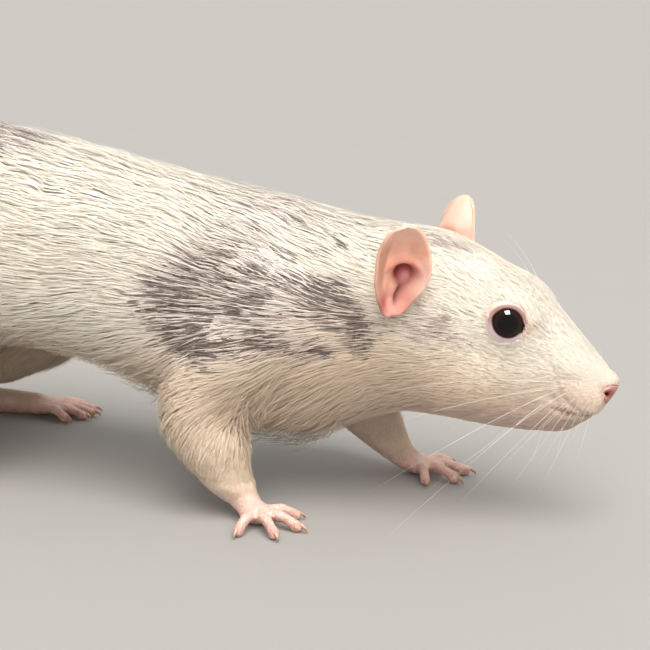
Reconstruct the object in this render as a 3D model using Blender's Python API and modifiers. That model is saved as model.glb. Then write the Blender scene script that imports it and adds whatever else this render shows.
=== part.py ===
"""A life-size pet rat standing on a level floor, as a still museum model.

Metres, +Z up, the floor at z = 0. The rat faces +X, its left side is +Y.
"""

import math

import bmesh
import bpy
from mathutils import Matrix, Vector
from mathutils.bvhtree import BVHTree
from mathutils.geometry import interpolate_bezier

MM = 0.001

# Driving sizes, all over the coat, in millimetres
GAP = 0.3
BLOCK_REACH = 800.0
EYE_RADIUS = 3.6
LID_RADIUS = 3.55
LID_THICKNESS = 0.62
LID_REACH = 1.5
LID_STEPS = 24
LID_SIDES = 6
EAR_HEIGHT = 19.6
EAR_THICKNESS = 0.9
EAR_HALF_WIDTH = 6.1
EAR_FOOT_HALF_WIDTH = 2.2
EAR_WIDEST = 0.56
EAR_DEPTH = 4.4
EAR_RIM_FOOT = 4.2
EAR_RIM_TIP = 1.0
EAR_TIP_FLAT = 0.14
EAR_TIP_POWER = 2.6
EAR_DISH_START = 0.12
EAR_DISH_SPAN = 0.80
EAR_DISH_POWER = 2.4
EAR_ACROSS = 12
EAR_RISE = 9
WRIST_RADIUS = 3.3
ANKLE_RADIUS = 4.3
ANKLE_CUT_HEIGHT = 6.8
TAIL_LENGTH = 178.0
TAIL_ROOT_RADIUS = 5.2
TAIL_TIP_RADIUS = 1.1
WHISKER_RADIUS = 0.26
WHISKER_TAPER = 0.65
WHISKER_SINK = 1.6
WHISKER_DROOP = (-0.10, 0.0, -0.16)

# How fine the flesh is made, and how many faces are kept
VOXEL = 0.7
FLESH_TRIANGLES = 3700
SMOOTH_STEPS = 22
SLEEVE_VOXEL = 1.6
SLEEVE_SMOOTH_STEPS = 6
SLEEVE_TRIANGLES = 320
LIMB_STEPS = 5
LIMB_RESOLUTION = 6
DOME_OPENING = 0.35

# The body's outline from rump to nose: place along X, height of the back, height of the belly,
# half width, and where the widest level lies between belly and back
TRUNK_STATIONS = (
    (-132.0, 45.5, 36.5, 4.5, 0.50),
    (-127.0, 53.0, 31.0, 11.0, 0.50),
    (-118.0, 62.0, 27.0, 17.5, 0.47),
    (-106.0, 69.5, 25.5, 22.5, 0.45),
    (-92.0, 73.3, 25.0, 24.5, 0.43),
    (-76.0, 73.0, 25.5, 25.0, 0.42),
    (-58.0, 70.0, 25.0, 24.0, 0.42),
    (-38.0, 65.8, 20.5, 23.2, 0.42),
    (-20.0, 62.3, 14.5, 21.5, 0.43),
    (-6.0, 60.0, 12.8, 19.0, 0.45),
    (6.0, 57.6, 15.0, 16.4, 0.47),
    (16.0, 56.4, 18.4, 14.8, 0.45),
    (25.0, 55.4, 18.6, 14.0, 0.42),
    (32.0, 52.2, 17.8, 12.6, 0.42),
    (38.0, 49.0, 17.3, 10.9, 0.42),
    (43.0, 45.9, 17.2, 9.2, 0.42),
    (48.0, 40.6, 17.7, 7.9, 0.42),
    (52.5, 35.6, 19.6, 6.5, 0.46),
    (56.0, 31.6, 22.6, 4.7, 0.50),
    (58.4, 28.6, 25.6, 2.2, 0.50),
)
TRUNK_RINGS = 84
TRUNK_SIDES = 32
SECTION_POWER = 2.15

# Rounded masses of both sides: centre (left side), radii, and pitch in degrees
PAIRED_MASSES = {
    "shoulder": ((-11.0, 12.5, 37.0), (16.0, 10.5, 17.0), 12.0),
    "haunch": ((-90.0, 15.5, 39.0), (23.0, 13.0, 22.0), -20.0),
    "cheek": ((29.0, 6.8, 29.5), (12.0, 7.0, 9.5), 0.0),
    "brow": ((39.0, 4.8, 42.6), (8.5, 4.6, 4.6), 32.0),
    "muzzle": ((50.4, 3.5, 26.2), (6.6, 4.2, 5.0), 20.0),
}
CHIN = ((46.2, 0.0, 20.6), (6.4, 4.4, 3.5), 0.0)

# Leg routes: points and coat radii from the trunk down to the wrist or ankle, and one point past it
RIGHT_FORELEG = (
    ((-12.5, -14.5, 33.0), 11.0),
    ((-19.0, -17.5, 21.5), 9.8),
    ((-15.2, -19.6, 13.0), 7.4),
    ((-12.6, -20.2, 8.6), 5.1),
    ((-10.0, -20.4, 4.6), WRIST_RADIUS),
    ((-7.4, -20.6, 0.6), WRIST_RADIUS),
)
LEFT_FORELEG = (
    ((-5.0, 14.0, 33.0), 11.0),
    ((-3.0, 16.2, 21.5), 9.6),
    ((4.0, 16.6, 13.0), 6.8),
    ((7.6, 16.6, 8.6), 4.8),
    ((10.4, 16.4, 4.6), WRIST_RADIUS),
    ((13.2, 16.2, 0.6), WRIST_RADIUS),
)
HIND_LEG = (
    ((-84.0, 18.0, 33.0), 13.0),
    ((-74.0, 21.5, 25.5), 10.2),
    ((-86.0, 23.0, 16.5), 7.8),
    ((-95.5, 23.8, 11.4), 5.0),
    ((-101.0, 24.0, 7.8), ANKLE_RADIUS),
    ((-102.6, 24.0, 2.0), ANKLE_RADIUS),
)
HIND_STEP = 5.0

# What parts each leg from the trunk: a wider sleeve along the leg, with its own radii
FORELEG_SLEEVE = (12.2, 12.0, 10.0, 9.0, 9.0, 9.0)
HIND_LEG_SLEEVE = (16.5, 16.0, 13.0, 10.0, 10.0, 10.0)

# Planes that part the trunk, from nose to rump: a point and a normal that points forward
TRUNK_CUTS = (
    ("head", (14.0, 0.0, 36.0), (0.980, 0.0, 0.200)),
    ("neck", (1.0, 0.0, 36.0), (0.975, 0.0, 0.220)),
    ("chest", (-34.0, 0.0, 40.0), (1.0, 0.0, 0.0)),
    ("belly", (-70.0, 0.0, 45.0), (1.0, 0.0, 0.0)),
)
TAIL_START = (-125.5, 0.0, 41.6)
TAIL_JOINT = (-131.0, 0.0, 38.4)
TAIL_ROUTE = (
    (-140.0, -0.6, 30.5),
    (-149.5, -1.8, 19.5),
    (-159.5, -3.4, 9.6),
    (-171.5, -5.4, 3.0),
    (-186.0, -7.4, 0.0),
    (-208.0, -7.0, 0.0),
    (-232.0, 1.5, 0.0),
    (-253.0, 13.0, 0.0),
    (-275.0, 18.5, 0.0),
)
TAIL_PARTS = ("tail_root", "tail_fore", "tail_middle", "tail_end")
TAIL_REST = 0.88
TAIL_CUT_REACH = 17.0

# Eyes, ears and face, on the left side
EYE_CENTRE = (38.8, 8.0, 39.7)
EYE_LOOK = (0.30, 0.93, 0.20)
EAR_ROOT = (19.0, 12.2, 40.4)
EAR_UP = (0.16, 0.36, 0.92)
EAR_OUT = (0.50, 0.83, -0.22)
MUZZLE_PAD = ((51.2, 7.0, 26.6), (5.2, 3.4, 3.4), 20.0)
NOSE_PAD = ((58.4, 0.0, 26.6), (2.9, 3.4, 2.8), 0.0)
NOSTRIL = ((57.6, 2.0, 26.0), (1.9, 0.7, 0.75), -15.0)
MOUTH_CENTRE_X = 47.5
MOUTH_HEIGHT = 21.5
MOUTH_RISE = 2.6
MOUTH_HALF_ANGLE = 96.0
MOUTH_RADIUS = 0.45
MOUTH_STEPS = 14
PHILTRUM_TOP = 24.4
OUTSIDE = 90.0

# Whiskers: rows up the pad, hairs in each row, the length of the longest, the place of the
# lowest one at the front, the patch that they cover, and how far they sweep back and rise
WHISKER_ROWS = 3
WHISKERS_PER_ROW = 4
WHISKER_LENGTH = 34.0
WHISKER_FRONT = (53.6, 24.9)
WHISKER_PATCH = (4.8, 3.2)
WHISKER_ROW_RISE = 0.8
WHISKER_SWEEP = (-4.0, -48.0)
WHISKER_LIFT = (-28.0, 18.0)

# Paws: digit angles to the paw's own line (towards the body's outer side) and lengths
FOREPAW_HEADINGS = {"right": -38.0, "left": -4.0}
FORE_DIGITS = ((-62.0, 4.8), (-19.0, 7.2), (16.0, 7.4), (62.0, 5.4))
HIND_HEADING = 9.0
HIND_DIGITS = ((-27.0, 6.2), (-10.0, 9.2), (0.0, 10.0), (10.0, 9.4), (29.0, 6.4))
FORE_PALM = (4.2, 3.7, 2.3)
HIND_PAD = (5.0, 4.4, 2.5)
SOLE_LENGTH = 25.0
FORE_REACH = 5.0

# A digit: its radius, where its line starts behind the knuckle and how high it arches there,
# then shares of its length with heights, and the shares of its radius along it
DIGIT_RADIUS = 1.15
DIGIT_ROOT = (-1.2, 1.9)
DIGIT_ARCH = ((0.35, 2.3), (0.68, 1.7), (0.93, 0.97))
DIGIT_WIDTHS = (1.12, 0.98, 0.90, 1.02)

# A claw: its length past the digit's tip, its radius, and its height at root, middle and tip
CLAW_LENGTH = 2.0
CLAW_RADIUS = 0.5
CLAW_HEIGHTS = (1.3, 1.5, 0.5)
CLAW_WIDTHS = (1.15, 0.85, 0.35)

# The sole from heel to ball: reach in front of the heel, height and radius
HEEL_SETBACK = 2.4
SOLE_LINE = ((1.2, 3.8, 3.7), (6.5, 3.0, 3.3), (15.0, 2.9, 3.1), (SOLE_LENGTH, 2.5, 2.7))

# Colours, as linear values
COLOURS = {
    "cream_coat": ((0.80, 0.74, 0.65), 0.85),
    "grey_coat": ((0.42, 0.39, 0.37), 0.85),
    "bare_skin": ((0.76, 0.42, 0.36), 0.55),
    "eye_black": ((0.008, 0.006, 0.006), 0.06),
    "tail_skin": ((0.62, 0.44, 0.38), 0.60),
}


def clear_scene():
    """Removes every object of the startup scene."""
    for found in list(bpy.data.objects):
        bpy.data.objects.remove(found)


def make_materials():
    """One Principled material for each finish, by name."""
    made = {}
    for name, (colour, roughness) in COLOURS.items():
        material = bpy.data.materials.new(name)
        material.use_nodes = True
        shader = material.node_tree.nodes["Principled BSDF"]
        shader.inputs["Base Color"].default_value = (*colour, 1.0)
        shader.inputs["Roughness"].default_value = roughness
        shader.inputs["Metallic"].default_value = 0.0
        made[name] = material
    return made


def metres(point):
    return Vector(point) * MM


def mirrored(point, side):
    """The point on the left (side 1) or right (side -1) of the body."""
    return (point[0], point[1] * side, point[2])


def add_object(name, mesh, collection):
    made = bpy.data.objects.new(name, mesh)
    collection.objects.link(made)
    return made


def mesh_from(name, work, collection):
    """Turns a bmesh into an object and frees it."""
    bmesh.ops.recalc_face_normals(work, faces=work.faces)
    mesh = bpy.data.meshes.new(name)
    work.to_mesh(mesh)
    work.free()
    return add_object(name, mesh, collection)


def evaluated_copy(source):
    """The object's mesh as its modifiers leave it, in world space."""
    graph = bpy.context.evaluated_depsgraph_get()
    shown = source.evaluated_get(graph)
    mesh = bpy.data.meshes.new_from_object(shown)
    mesh.transform(shown.matrix_world)
    return mesh


def settle(target):
    """Applies every modifier of the object."""
    mesh = evaluated_copy(target)
    target.modifiers.clear()
    target.data = mesh
    target.matrix_world = Matrix.Identity(4)


def smooth_route(points, radii, steps):
    """Points and radii along a smooth curve through a route, with steps between each two."""
    places = [metres(point) for point in points]
    ends = [2 * places[0] - places[1], *places, 2 * places[-1] - places[-2]]
    line = []
    widths = []
    for i in range(len(places) - 1):
        start, stop = ends[i + 1], ends[i + 2]
        handle_out = start + (ends[i + 2] - ends[i]) / 6
        handle_in = stop - (ends[i + 3] - ends[i + 1]) / 6
        piece = interpolate_bezier(start, handle_out, handle_in, stop, steps + 1)
        last = i == len(places) - 2
        for j, place in enumerate(piece if last else piece[:-1]):
            share = j / steps
            ease = share * share * (3 - 2 * share)
            line.append(place)
            widths.append((radii[i] * (1 - ease) + radii[i + 1] * ease) * MM)
    return line, widths


def rounded_ends(line, widths, head=True, tail=True, rings=3):
    """Adds rings that close each end of a tube in a dome."""
    line, widths = list(line), list(widths)

    def dome(place, outward, width):
        angles = [math.pi / 2 * (k + 1) / (rings + DOME_OPENING) for k in range(rings)]
        return [(place + outward * width * math.sin(a), width * math.cos(a)) for a in angles]

    if tail:
        outward = (line[-1] - line[-2]).normalized()
        for place, width in dome(line[-1], outward, widths[-1]):
            line.append(place)
            widths.append(width)
    if head:
        outward = (line[0] - line[1]).normalized()
        for place, width in dome(line[0], outward, widths[0]):
            line.insert(0, place)
            widths.insert(0, width)
    return line, widths


def tube(name, line, widths, resolution, collection):
    """A closed tube of changing width along a line, made as a bevelled curve."""
    curve = bpy.data.curves.new(name, "CURVE")
    curve.dimensions = "3D"
    curve.twist_mode = "MINIMUM"
    curve.bevel_mode = "ROUND"
    curve.bevel_depth = 1.0
    curve.bevel_resolution = resolution
    curve.use_fill_caps = True
    spline = curve.splines.new("POLY")
    spline.points.add(len(line) - 1)
    for point, place, width in zip(spline.points, line, widths):
        point.co = (*place, 1.0)
        point.radius = width
    drawn = add_object(name + "_line", curve, collection)
    bpy.context.view_layer.update()
    work = bmesh.new()
    work.from_mesh(evaluated_copy(drawn))
    bmesh.ops.remove_doubles(work, verts=work.verts, dist=0.00002)
    bpy.data.objects.remove(drawn)
    return mesh_from(name, work, collection)


def limb(name, route, collection):
    """A leg's tube from its route of points and radii."""
    points = [point for point, _ in route]
    radii = [radius for _, radius in route]
    line, widths = smooth_route(points, radii, LIMB_STEPS)
    line, widths = rounded_ends(line, widths)
    return tube(name, line, widths, LIMB_RESOLUTION, collection)


def melt(target, voxel, smooth_steps, triangles):
    """Melts whatever overlaps in the object into one smooth closed skin of about so many faces."""
    remesh = target.modifiers.new("melt", "REMESH")
    remesh.mode = "VOXEL"
    remesh.voxel_size = voxel * MM
    smooth = target.modifiers.new("smooth", "SMOOTH")
    smooth.factor = 0.5
    smooth.iterations = smooth_steps
    settle(target)
    target.data.calc_loop_triangles()
    thin = target.modifiers.new("thin", "DECIMATE")
    thin.ratio = triangles / len(target.data.loop_triangles)
    target.modifiers.new("triangles", "TRIANGULATE")
    settle(target)


def ellipsoid(name, centre, radii, pitch, collection, widen=0.0, segments=32):
    """A ball stretched to three radii, turned nose down by pitch degrees."""
    work = bmesh.new()
    bmesh.ops.create_uvsphere(work, u_segments=segments, v_segments=segments // 2, radius=1.0)
    size = Matrix.Diagonal([(radius + widen) * MM for radius in radii]).to_4x4()
    turn = Matrix.Rotation(math.radians(pitch), 4, "Y")
    place = Matrix.Translation(metres(centre))
    bmesh.ops.transform(work, matrix=place @ turn @ size, verts=work.verts)
    return mesh_from(name, work, collection)


def half_space(name, point, normal, collection, beyond=0.0, reach=BLOCK_REACH):
    """A block whose face lies on the plane, on the side that the normal points to."""
    size = reach * MM
    work = bmesh.new()
    bmesh.ops.create_cube(work, size=size)
    turn = Vector(normal).to_track_quat("Z", "Y").to_matrix().to_4x4()
    rise = Matrix.Translation((0.0, 0.0, size / 2 + beyond * MM))
    place = Matrix.Translation(metres(point))
    bmesh.ops.transform(work, matrix=place @ turn @ rise, verts=work.verts)
    return mesh_from(name, work, collection)


def keep_largest(target):
    """Drops every loose scrap but the largest closed surface."""
    work = bmesh.new()
    work.from_mesh(target.data)
    left = set(work.verts)
    groups = []
    while left:
        group = set()
        front = [left.pop()]
        while front:
            vert = front.pop()
            group.add(vert)
            for edge in vert.link_edges:
                other = edge.other_vert(vert)
                if other in left:
                    left.remove(other)
                    front.append(other)
        groups.append(group)
    groups.sort(key=len)
    scraps = [vert for group in groups[:-1] for vert in group]
    bmesh.ops.delete(work, geom=scraps, context="VERTS")
    work.to_mesh(target.data)
    work.free()


def combine(target, others, operation):
    """Joins, cuts or intersects the target with closed objects, which are then removed."""
    pieces = bpy.data.collections.new("pieces")
    bpy.context.scene.collection.children.link(pieces)
    for other in others:
        for owner in list(other.users_collection):
            owner.objects.unlink(other)
        pieces.objects.link(other)
    change = target.modifiers.new("change", "BOOLEAN")
    change.operation = operation
    change.solver = "EXACT"
    change.operand_type = "COLLECTION"
    change.collection = pieces
    settle(target)
    for other in others:
        bpy.data.objects.remove(other)
    bpy.data.collections.remove(pieces)
    keep_largest(target)
    return target


def duplicate(source, name, collection):
    return add_object(name, source.data.copy(), collection)


def part_off(body, name, inner, outer, collection):
    """Takes the node inside a region out of the body, which keeps clear of it by the gap."""
    node = duplicate(body, name, collection)
    combine(node, [inner], "INTERSECT")
    combine(body, [outer], "DIFFERENCE")
    return node


def section_at(x):
    """The trunk's heights, half width and widest level at a place along X."""
    table = TRUNK_STATIONS
    i = max(k for k in range(len(table) - 1) if x >= table[k][0] or k == 0)
    before = table[max(i - 1, 0)]
    start, stop = table[i], table[i + 1]
    after = table[min(i + 2, len(table) - 1)]
    span = stop[0] - start[0]
    t = (x - start[0]) / span
    values = []
    for k in range(1, 5):
        slope_a = (stop[k] - before[k]) / (stop[0] - before[0]) * span
        slope_b = (after[k] - start[k]) / (after[0] - start[0]) * span
        values.append(
            (2 * t**3 - 3 * t**2 + 1) * start[k]
            + (t**3 - 2 * t**2 + t) * slope_a
            + (-2 * t**3 + 3 * t**2) * stop[k]
            + (t**3 - t**2) * slope_b
        )
    return values


def rounded(value):
    """A cosine or sine bent towards a squarer oval."""
    return math.copysign(abs(value) ** (2 / SECTION_POWER), value)


def trunk(collection):
    """The trunk, neck and head as one loft of upright oval sections."""
    work = bmesh.new()
    first, last = TRUNK_STATIONS[0][0], TRUNK_STATIONS[-1][0]
    rings = []
    for i in range(TRUNK_RINGS):
        ease = (1 - math.cos(math.pi * i / (TRUNK_RINGS - 1))) / 2
        x = first + (last - first) * (0.5 * ease + 0.5 * i / (TRUNK_RINGS - 1))
        top, bottom, half_width, level = section_at(x)
        middle = bottom + (top - bottom) * level
        ring = []
        for j in range(TRUNK_SIDES):
            angle = 2 * math.pi * j / TRUNK_SIDES
            across, up = rounded(math.cos(angle)), rounded(math.sin(angle))
            rise = (top - middle) if up > 0 else (middle - bottom)
            ring.append(work.verts.new(metres((x, half_width * across, middle + rise * up))))
        rings.append(ring)
    for near, far in zip(rings, rings[1:]):
        for j in range(TRUNK_SIDES):
            k = (j + 1) % TRUNK_SIDES
            work.faces.new((near[j], near[k], far[k], far[j]))
    work.faces.new(rings[0])
    work.faces.new(rings[-1])
    return mesh_from("trunk", work, collection)


def leg_routes():
    """Each leg's route by name, with the left hind foot a step behind the right one."""
    def hind(side, back):
        return [
            ((x - back * i / (len(HIND_LEG) - 1), y * side, z), radius)
            for i, ((x, y, z), radius) in enumerate(HIND_LEG)
        ]

    return {
        "right_foreleg": RIGHT_FORELEG,
        "left_foreleg": LEFT_FORELEG,
        "right_hind_leg": hind(-1, 0.0),
        "left_hind_leg": hind(1, HIND_STEP),
    }


def make_flesh(collection):
    """Trunk, masses and legs melted into one smooth closed body."""
    pieces = [trunk(collection), ellipsoid("chin", *CHIN, collection)]
    for name, (centre, radii, pitch) in PAIRED_MASSES.items():
        for side in (-1, 1):
            pieces.append(ellipsoid(name, mirrored(centre, side), radii, pitch, collection))
    for name, route in leg_routes().items():
        pieces.append(limb(name + "_form", route, collection))
    work = bmesh.new()
    for piece in pieces:
        work.from_mesh(piece.data)
        bpy.data.objects.remove(piece)
    flesh = mesh_from("flesh", work, collection)
    melt(flesh, VOXEL, SMOOTH_STEPS, FLESH_TRIANGLES)
    return flesh


def inflated(source, distance, collection):
    """A copy of a closed body whose surface stands out by the distance, in millimetres."""
    copy = duplicate(source, source.name + "_inflated", collection)
    swell = copy.modifiers.new("swell", "DISPLACE")
    swell.strength = distance * MM
    swell.mid_level = 0.0
    settle(copy)
    return copy


def cut_by_plane(upper, lower, point, normal, collection, reach=BLOCK_REACH):
    """Parts two bodies at a plane: upper keeps the side of the normal, lower the other."""
    against = tuple(-value for value in normal)
    below = half_space("below", point, against, collection, -GAP / 2, reach)
    above = half_space("above", point, normal, collection, -GAP / 2, reach)
    combine(upper, [below], "DIFFERENCE")
    combine(lower, [above], "DIFFERENCE")


def surface_point(tree, start, towards):
    """Where a ray from outside first meets the surface, or None."""
    origin = metres(start)
    hit = tree.ray_cast(origin, (metres(towards) - origin).normalized())
    return hit[0]


def surface_tree(source):
    work = bmesh.new()
    work.from_mesh(source.data)
    tree = BVHTree.FromBMesh(work)
    work.free()
    return tree


def eye_ball(name, side, radius, collection):
    """An eyeball, or the socket that clears it, at the given radius."""
    return ellipsoid(name, mirrored(EYE_CENTRE, side), (radius,) * 3, 0.0, collection, segments=18)


def eye_lids(side, collection):
    """The ring of both lids, a torus round the way that the eye looks."""
    look = Vector(mirrored(EYE_LOOK, side)).normalized()
    work = bmesh.new()
    rings = []
    for i in range(LID_STEPS):
        around = 2 * math.pi * i / LID_STEPS
        outward = Vector((math.cos(around), math.sin(around), 0.0))
        ring = []
        for j in range(LID_SIDES):
            turn = 2 * math.pi * j / LID_SIDES
            reach = LID_RADIUS + LID_THICKNESS * math.cos(turn)
            rise = Vector((0.0, 0.0, LID_THICKNESS * math.sin(turn)))
            ring.append(work.verts.new((outward * reach + rise) * MM))
        rings.append(ring)
    for i in range(LID_STEPS):
        near, far = rings[i], rings[(i + 1) % LID_STEPS]
        for j in range(LID_SIDES):
            k = (j + 1) % LID_SIDES
            work.faces.new((near[j], near[k], far[k], far[j]))
    turn = look.to_track_quat("Z", "Y").to_matrix().to_4x4()
    centre = metres(mirrored(EYE_CENTRE, side)) + look * LID_REACH * MM
    bmesh.ops.transform(work, matrix=Matrix.Translation(centre) @ turn, verts=work.verts)
    return mesh_from("lids", work, collection)


def mouth_grooves(head, collection):
    """Tubes along the mouth's line round the lips and up the middle of the upper lip."""
    tree = surface_tree(head)
    points = []
    widths = []
    for i in range(MOUTH_STEPS + 1):
        share = 2 * i / MOUTH_STEPS - 1
        angle = math.radians(MOUTH_HALF_ANGLE) * share
        height = MOUTH_HEIGHT + MOUTH_RISE * share * share
        axis = (MOUTH_CENTRE_X, 0.0, height)
        start = (axis[0] + OUTSIDE * math.cos(angle), OUTSIDE * math.sin(angle), height)
        points.append(surface_point(tree, start, axis))
        widths.append(MOUTH_RADIUS * MM * (1 - 0.5 * abs(share) ** 3))
    line = tube("mouth", points, widths, 0, collection)
    rise = []
    for height in (MOUTH_HEIGHT - GAP, (MOUTH_HEIGHT + PHILTRUM_TOP) / 2, PHILTRUM_TOP):
        rise.append(surface_point(tree, (OUTSIDE, 0.0, height), (0.0, 0.0, height)))
    crease = tube("philtrum", rise, [MOUTH_RADIUS * 0.7 * MM] * len(rise), 0, collection)
    return [line, crease]


def make_ear(name, side, head, collection):
    """One ear: a thin cup that opens outward and forward, seated on the head's surface."""
    work = bmesh.new()
    bmesh.ops.create_grid(work, x_segments=EAR_ACROSS, y_segments=EAR_RISE, size=1.0)
    for vert in work.verts:
        vert.co = ear_place(vert.co.x, (vert.co.y + 1) / 2)
    up_axis = Vector(mirrored(EAR_UP, side)).normalized()
    out = Vector(mirrored(EAR_OUT, side))
    out = (out - up_axis * out.dot(up_axis)).normalized()
    front = out.cross(up_axis) * side
    basis = Matrix((front, out, up_axis)).transposed().to_4x4()
    place = Matrix.Translation(metres(mirrored(EAR_ROOT, side)))
    bmesh.ops.transform(work, matrix=place @ basis, verts=work.verts)
    cup = mesh_from(name, work, collection)
    shell = cup.modifiers.new("shell", "SOLIDIFY")
    shell.thickness = EAR_THICKNESS * MM
    shell.offset = 0.0
    settle(cup)
    return combine(cup, [inflated(head, GAP, collection)], "DIFFERENCE")


def ear_place(across, up):
    """A point of the ear's cup, as (forward, outward, upward) from its root in metres.

    Across runs from the back rim at -1 to the front rim at 1, and up from 0 to 1.
    """
    height = 1 - (1 - up) ** 2
    if height > EAR_WIDEST:
        share = (height - EAR_WIDEST) / (1 - EAR_WIDEST)
        rounding = (1 - min(share, 1.0) ** EAR_TIP_POWER) ** (1 / EAR_TIP_POWER)
        half_width = EAR_HALF_WIDTH * max(rounding, EAR_TIP_FLAT)
    else:
        share = math.sin(math.pi / 2 * height / EAR_WIDEST)
        half_width = EAR_FOOT_HALF_WIDTH + (EAR_HALF_WIDTH - EAR_FOOT_HALF_WIDTH) * share
    depth = EAR_DEPTH * math.sin(math.pi * (EAR_DISH_START + EAR_DISH_SPAN * height))
    rim = EAR_RIM_FOOT + (EAR_RIM_TIP - EAR_RIM_FOOT) * height
    outward = rim - depth * (1 - abs(across) ** EAR_DISH_POWER)
    return Vector((half_width * across, outward, height * EAR_HEIGHT)) * MM


def make_whisker(root, direction, length, collection):
    """One stiff hair that tapers and droops a little towards its tip."""
    steps = 3
    line = []
    widths = []
    for i in range(steps + 1):
        t = i / steps
        droop = Vector(WHISKER_DROOP) * t * t
        line.append(root + (direction * t + droop) * length * MM)
        widths.append(WHISKER_RADIUS * (1 - WHISKER_TAPER * t) * MM)
    return tube("whisker", line, widths, 0, collection)


def whiskers(tree, side, collection):
    """The rows of whiskers on one side: the front ones short, the back ones long and swept."""
    hairs = []
    for row in range(WHISKER_ROWS):
        for k in range(WHISKERS_PER_ROW):
            back = k / (WHISKERS_PER_ROW - 1)
            high = row / (WHISKER_ROWS - 1)
            x = WHISKER_FRONT[0] - WHISKER_PATCH[0] * back
            z = WHISKER_FRONT[1] + WHISKER_PATCH[1] * high + WHISKER_ROW_RISE * back
            root = surface_point(tree, (x, side * OUTSIDE, z), (x, 0.0, z))
            sweep = math.radians(WHISKER_SWEEP[0] + (WHISKER_SWEEP[1] - WHISKER_SWEEP[0]) * back)
            lift = math.radians(WHISKER_LIFT[0] + (WHISKER_LIFT[1] - WHISKER_LIFT[0]) * high)
            direction = Vector(
                (math.sin(sweep) * math.cos(lift), side * math.cos(sweep), math.sin(lift))
            ).normalized()
            sunk = root - direction * WHISKER_SINK * MM
            length = WHISKER_LENGTH * (0.60 + 0.40 * back) * (1 - 0.10 * ((row + k) % 3))
            hairs.append(make_whisker(sunk, direction, length, collection))
    return hairs


def make_whisker_pad(head, side, collection):
    """The swollen pad beside the nose with its whiskers, parted from the head."""
    name = "left_whisker_pad" if side > 0 else "right_whisker_pad"
    centre, radii, pitch = MUZZLE_PAD
    centre = mirrored(centre, side)
    tree = surface_tree(head)
    inner = ellipsoid("inner", centre, radii, pitch, collection, segments=16)
    outer = ellipsoid("outer", centre, radii, pitch, collection, GAP, segments=16)
    pad = part_off(head, name, inner, outer, collection)
    return combine(pad, whiskers(tree, side, collection), "UNION")


def make_nose(head, collection):
    """The bare tip of the nose with both nostrils, parted from the head."""
    inner = ellipsoid("inner", *NOSE_PAD, collection, segments=14)
    outer = ellipsoid("outer", *NOSE_PAD, collection, GAP, segments=14)
    nose = part_off(head, "nose", inner, outer, collection)
    centre, radii, pitch = NOSTRIL
    holes = []
    for side in (-1, 1):
        holes.append(
            ellipsoid("nostril", mirrored(centre, side), radii, pitch, collection, segments=8)
        )
    return combine(nose, holes, "DIFFERENCE")


def digit(root, heading, length, collection):
    """One toe with its claw: arched, padded at the tip, lying on the floor."""
    along = Vector((math.cos(heading), math.sin(heading), 0.0))

    def at(reach, height):
        place = Vector(root) + along * reach
        return (place.x, place.y, height)

    points = [at(*DIGIT_ROOT)] + [at(length * share, height) for share, height in DIGIT_ARCH]
    radii = [DIGIT_RADIUS * share for share in DIGIT_WIDTHS]
    line, widths = smooth_route(points, radii, 2)
    line, widths = rounded_ends(line, widths, head=False, rings=2)
    toe = tube("toe", line, widths, 1, collection)
    pad_reach = length * DIGIT_ARCH[-1][0]
    claw_reach = (pad_reach, pad_reach + CLAW_LENGTH * 0.7, length + CLAW_LENGTH)
    claw_points = [at(reach, height) for reach, height in zip(claw_reach, CLAW_HEIGHTS)]
    claw_radii = [CLAW_RADIUS * share for share in CLAW_WIDTHS]
    claw_line, claw_widths = smooth_route(claw_points, claw_radii, 1)
    return [toe, tube("claw", claw_line, claw_widths, 0, collection)]


def flat_ball(name, place, radii, direction, collection):
    """A low rounded pad at a place, turned to a direction in radians."""
    work = bmesh.new()
    bmesh.ops.create_uvsphere(work, u_segments=12, v_segments=8, radius=1.0)
    size = Matrix.Diagonal([value * MM for value in radii]).to_4x4()
    turn = Matrix.Rotation(direction, 4, "Z")
    move = Matrix.Translation(metres(place))
    bmesh.ops.transform(work, matrix=move @ turn @ size, verts=work.verts)
    return mesh_from(name, work, collection)


def trim_to_floor(target, collection):
    """Cuts flats on whatever reaches below the floor, out to the end of the tail."""
    under = half_space("under", (0.0, 0.0, 0.0), (0.0, 0.0, -1.0), collection)
    return combine(target, [under], "DIFFERENCE")


def make_paw(name, spine, spine_radii, ball, pad_radii, heading, side, digits, collection):
    """A paw: the tube from the joint down to its ball, the ball's pad, and a fan of digits."""
    direction = math.radians(heading)
    along = Vector((math.cos(direction), math.sin(direction), 0.0))
    outward = Vector((-along.y, along.x, 0.0)) * side
    line, widths = smooth_route(spine, spine_radii, 3)
    line, widths = rounded_ends(line, widths, head=False, rings=2)
    paw = tube(name, line, widths, 3, collection)
    centre = Vector((ball[0], ball[1], 0.0))
    pieces = [flat_ball("pad", (*centre.xy, pad_radii[2] * 0.92), pad_radii, direction, collection)]
    for i, (angle, length) in enumerate(digits):
        spread = i / (len(digits) - 1) - 0.5
        fan = math.radians(angle)
        reach = pad_radii[0] * 0.72 * math.cos(fan * 0.9)
        root = centre + along * reach + outward * pad_radii[1] * 1.5 * spread
        pieces += digit((*root.xy, 0.0), direction + fan * side, length, collection)
    return trim_to_floor(combine(paw, pieces, "UNION"), collection)


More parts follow.
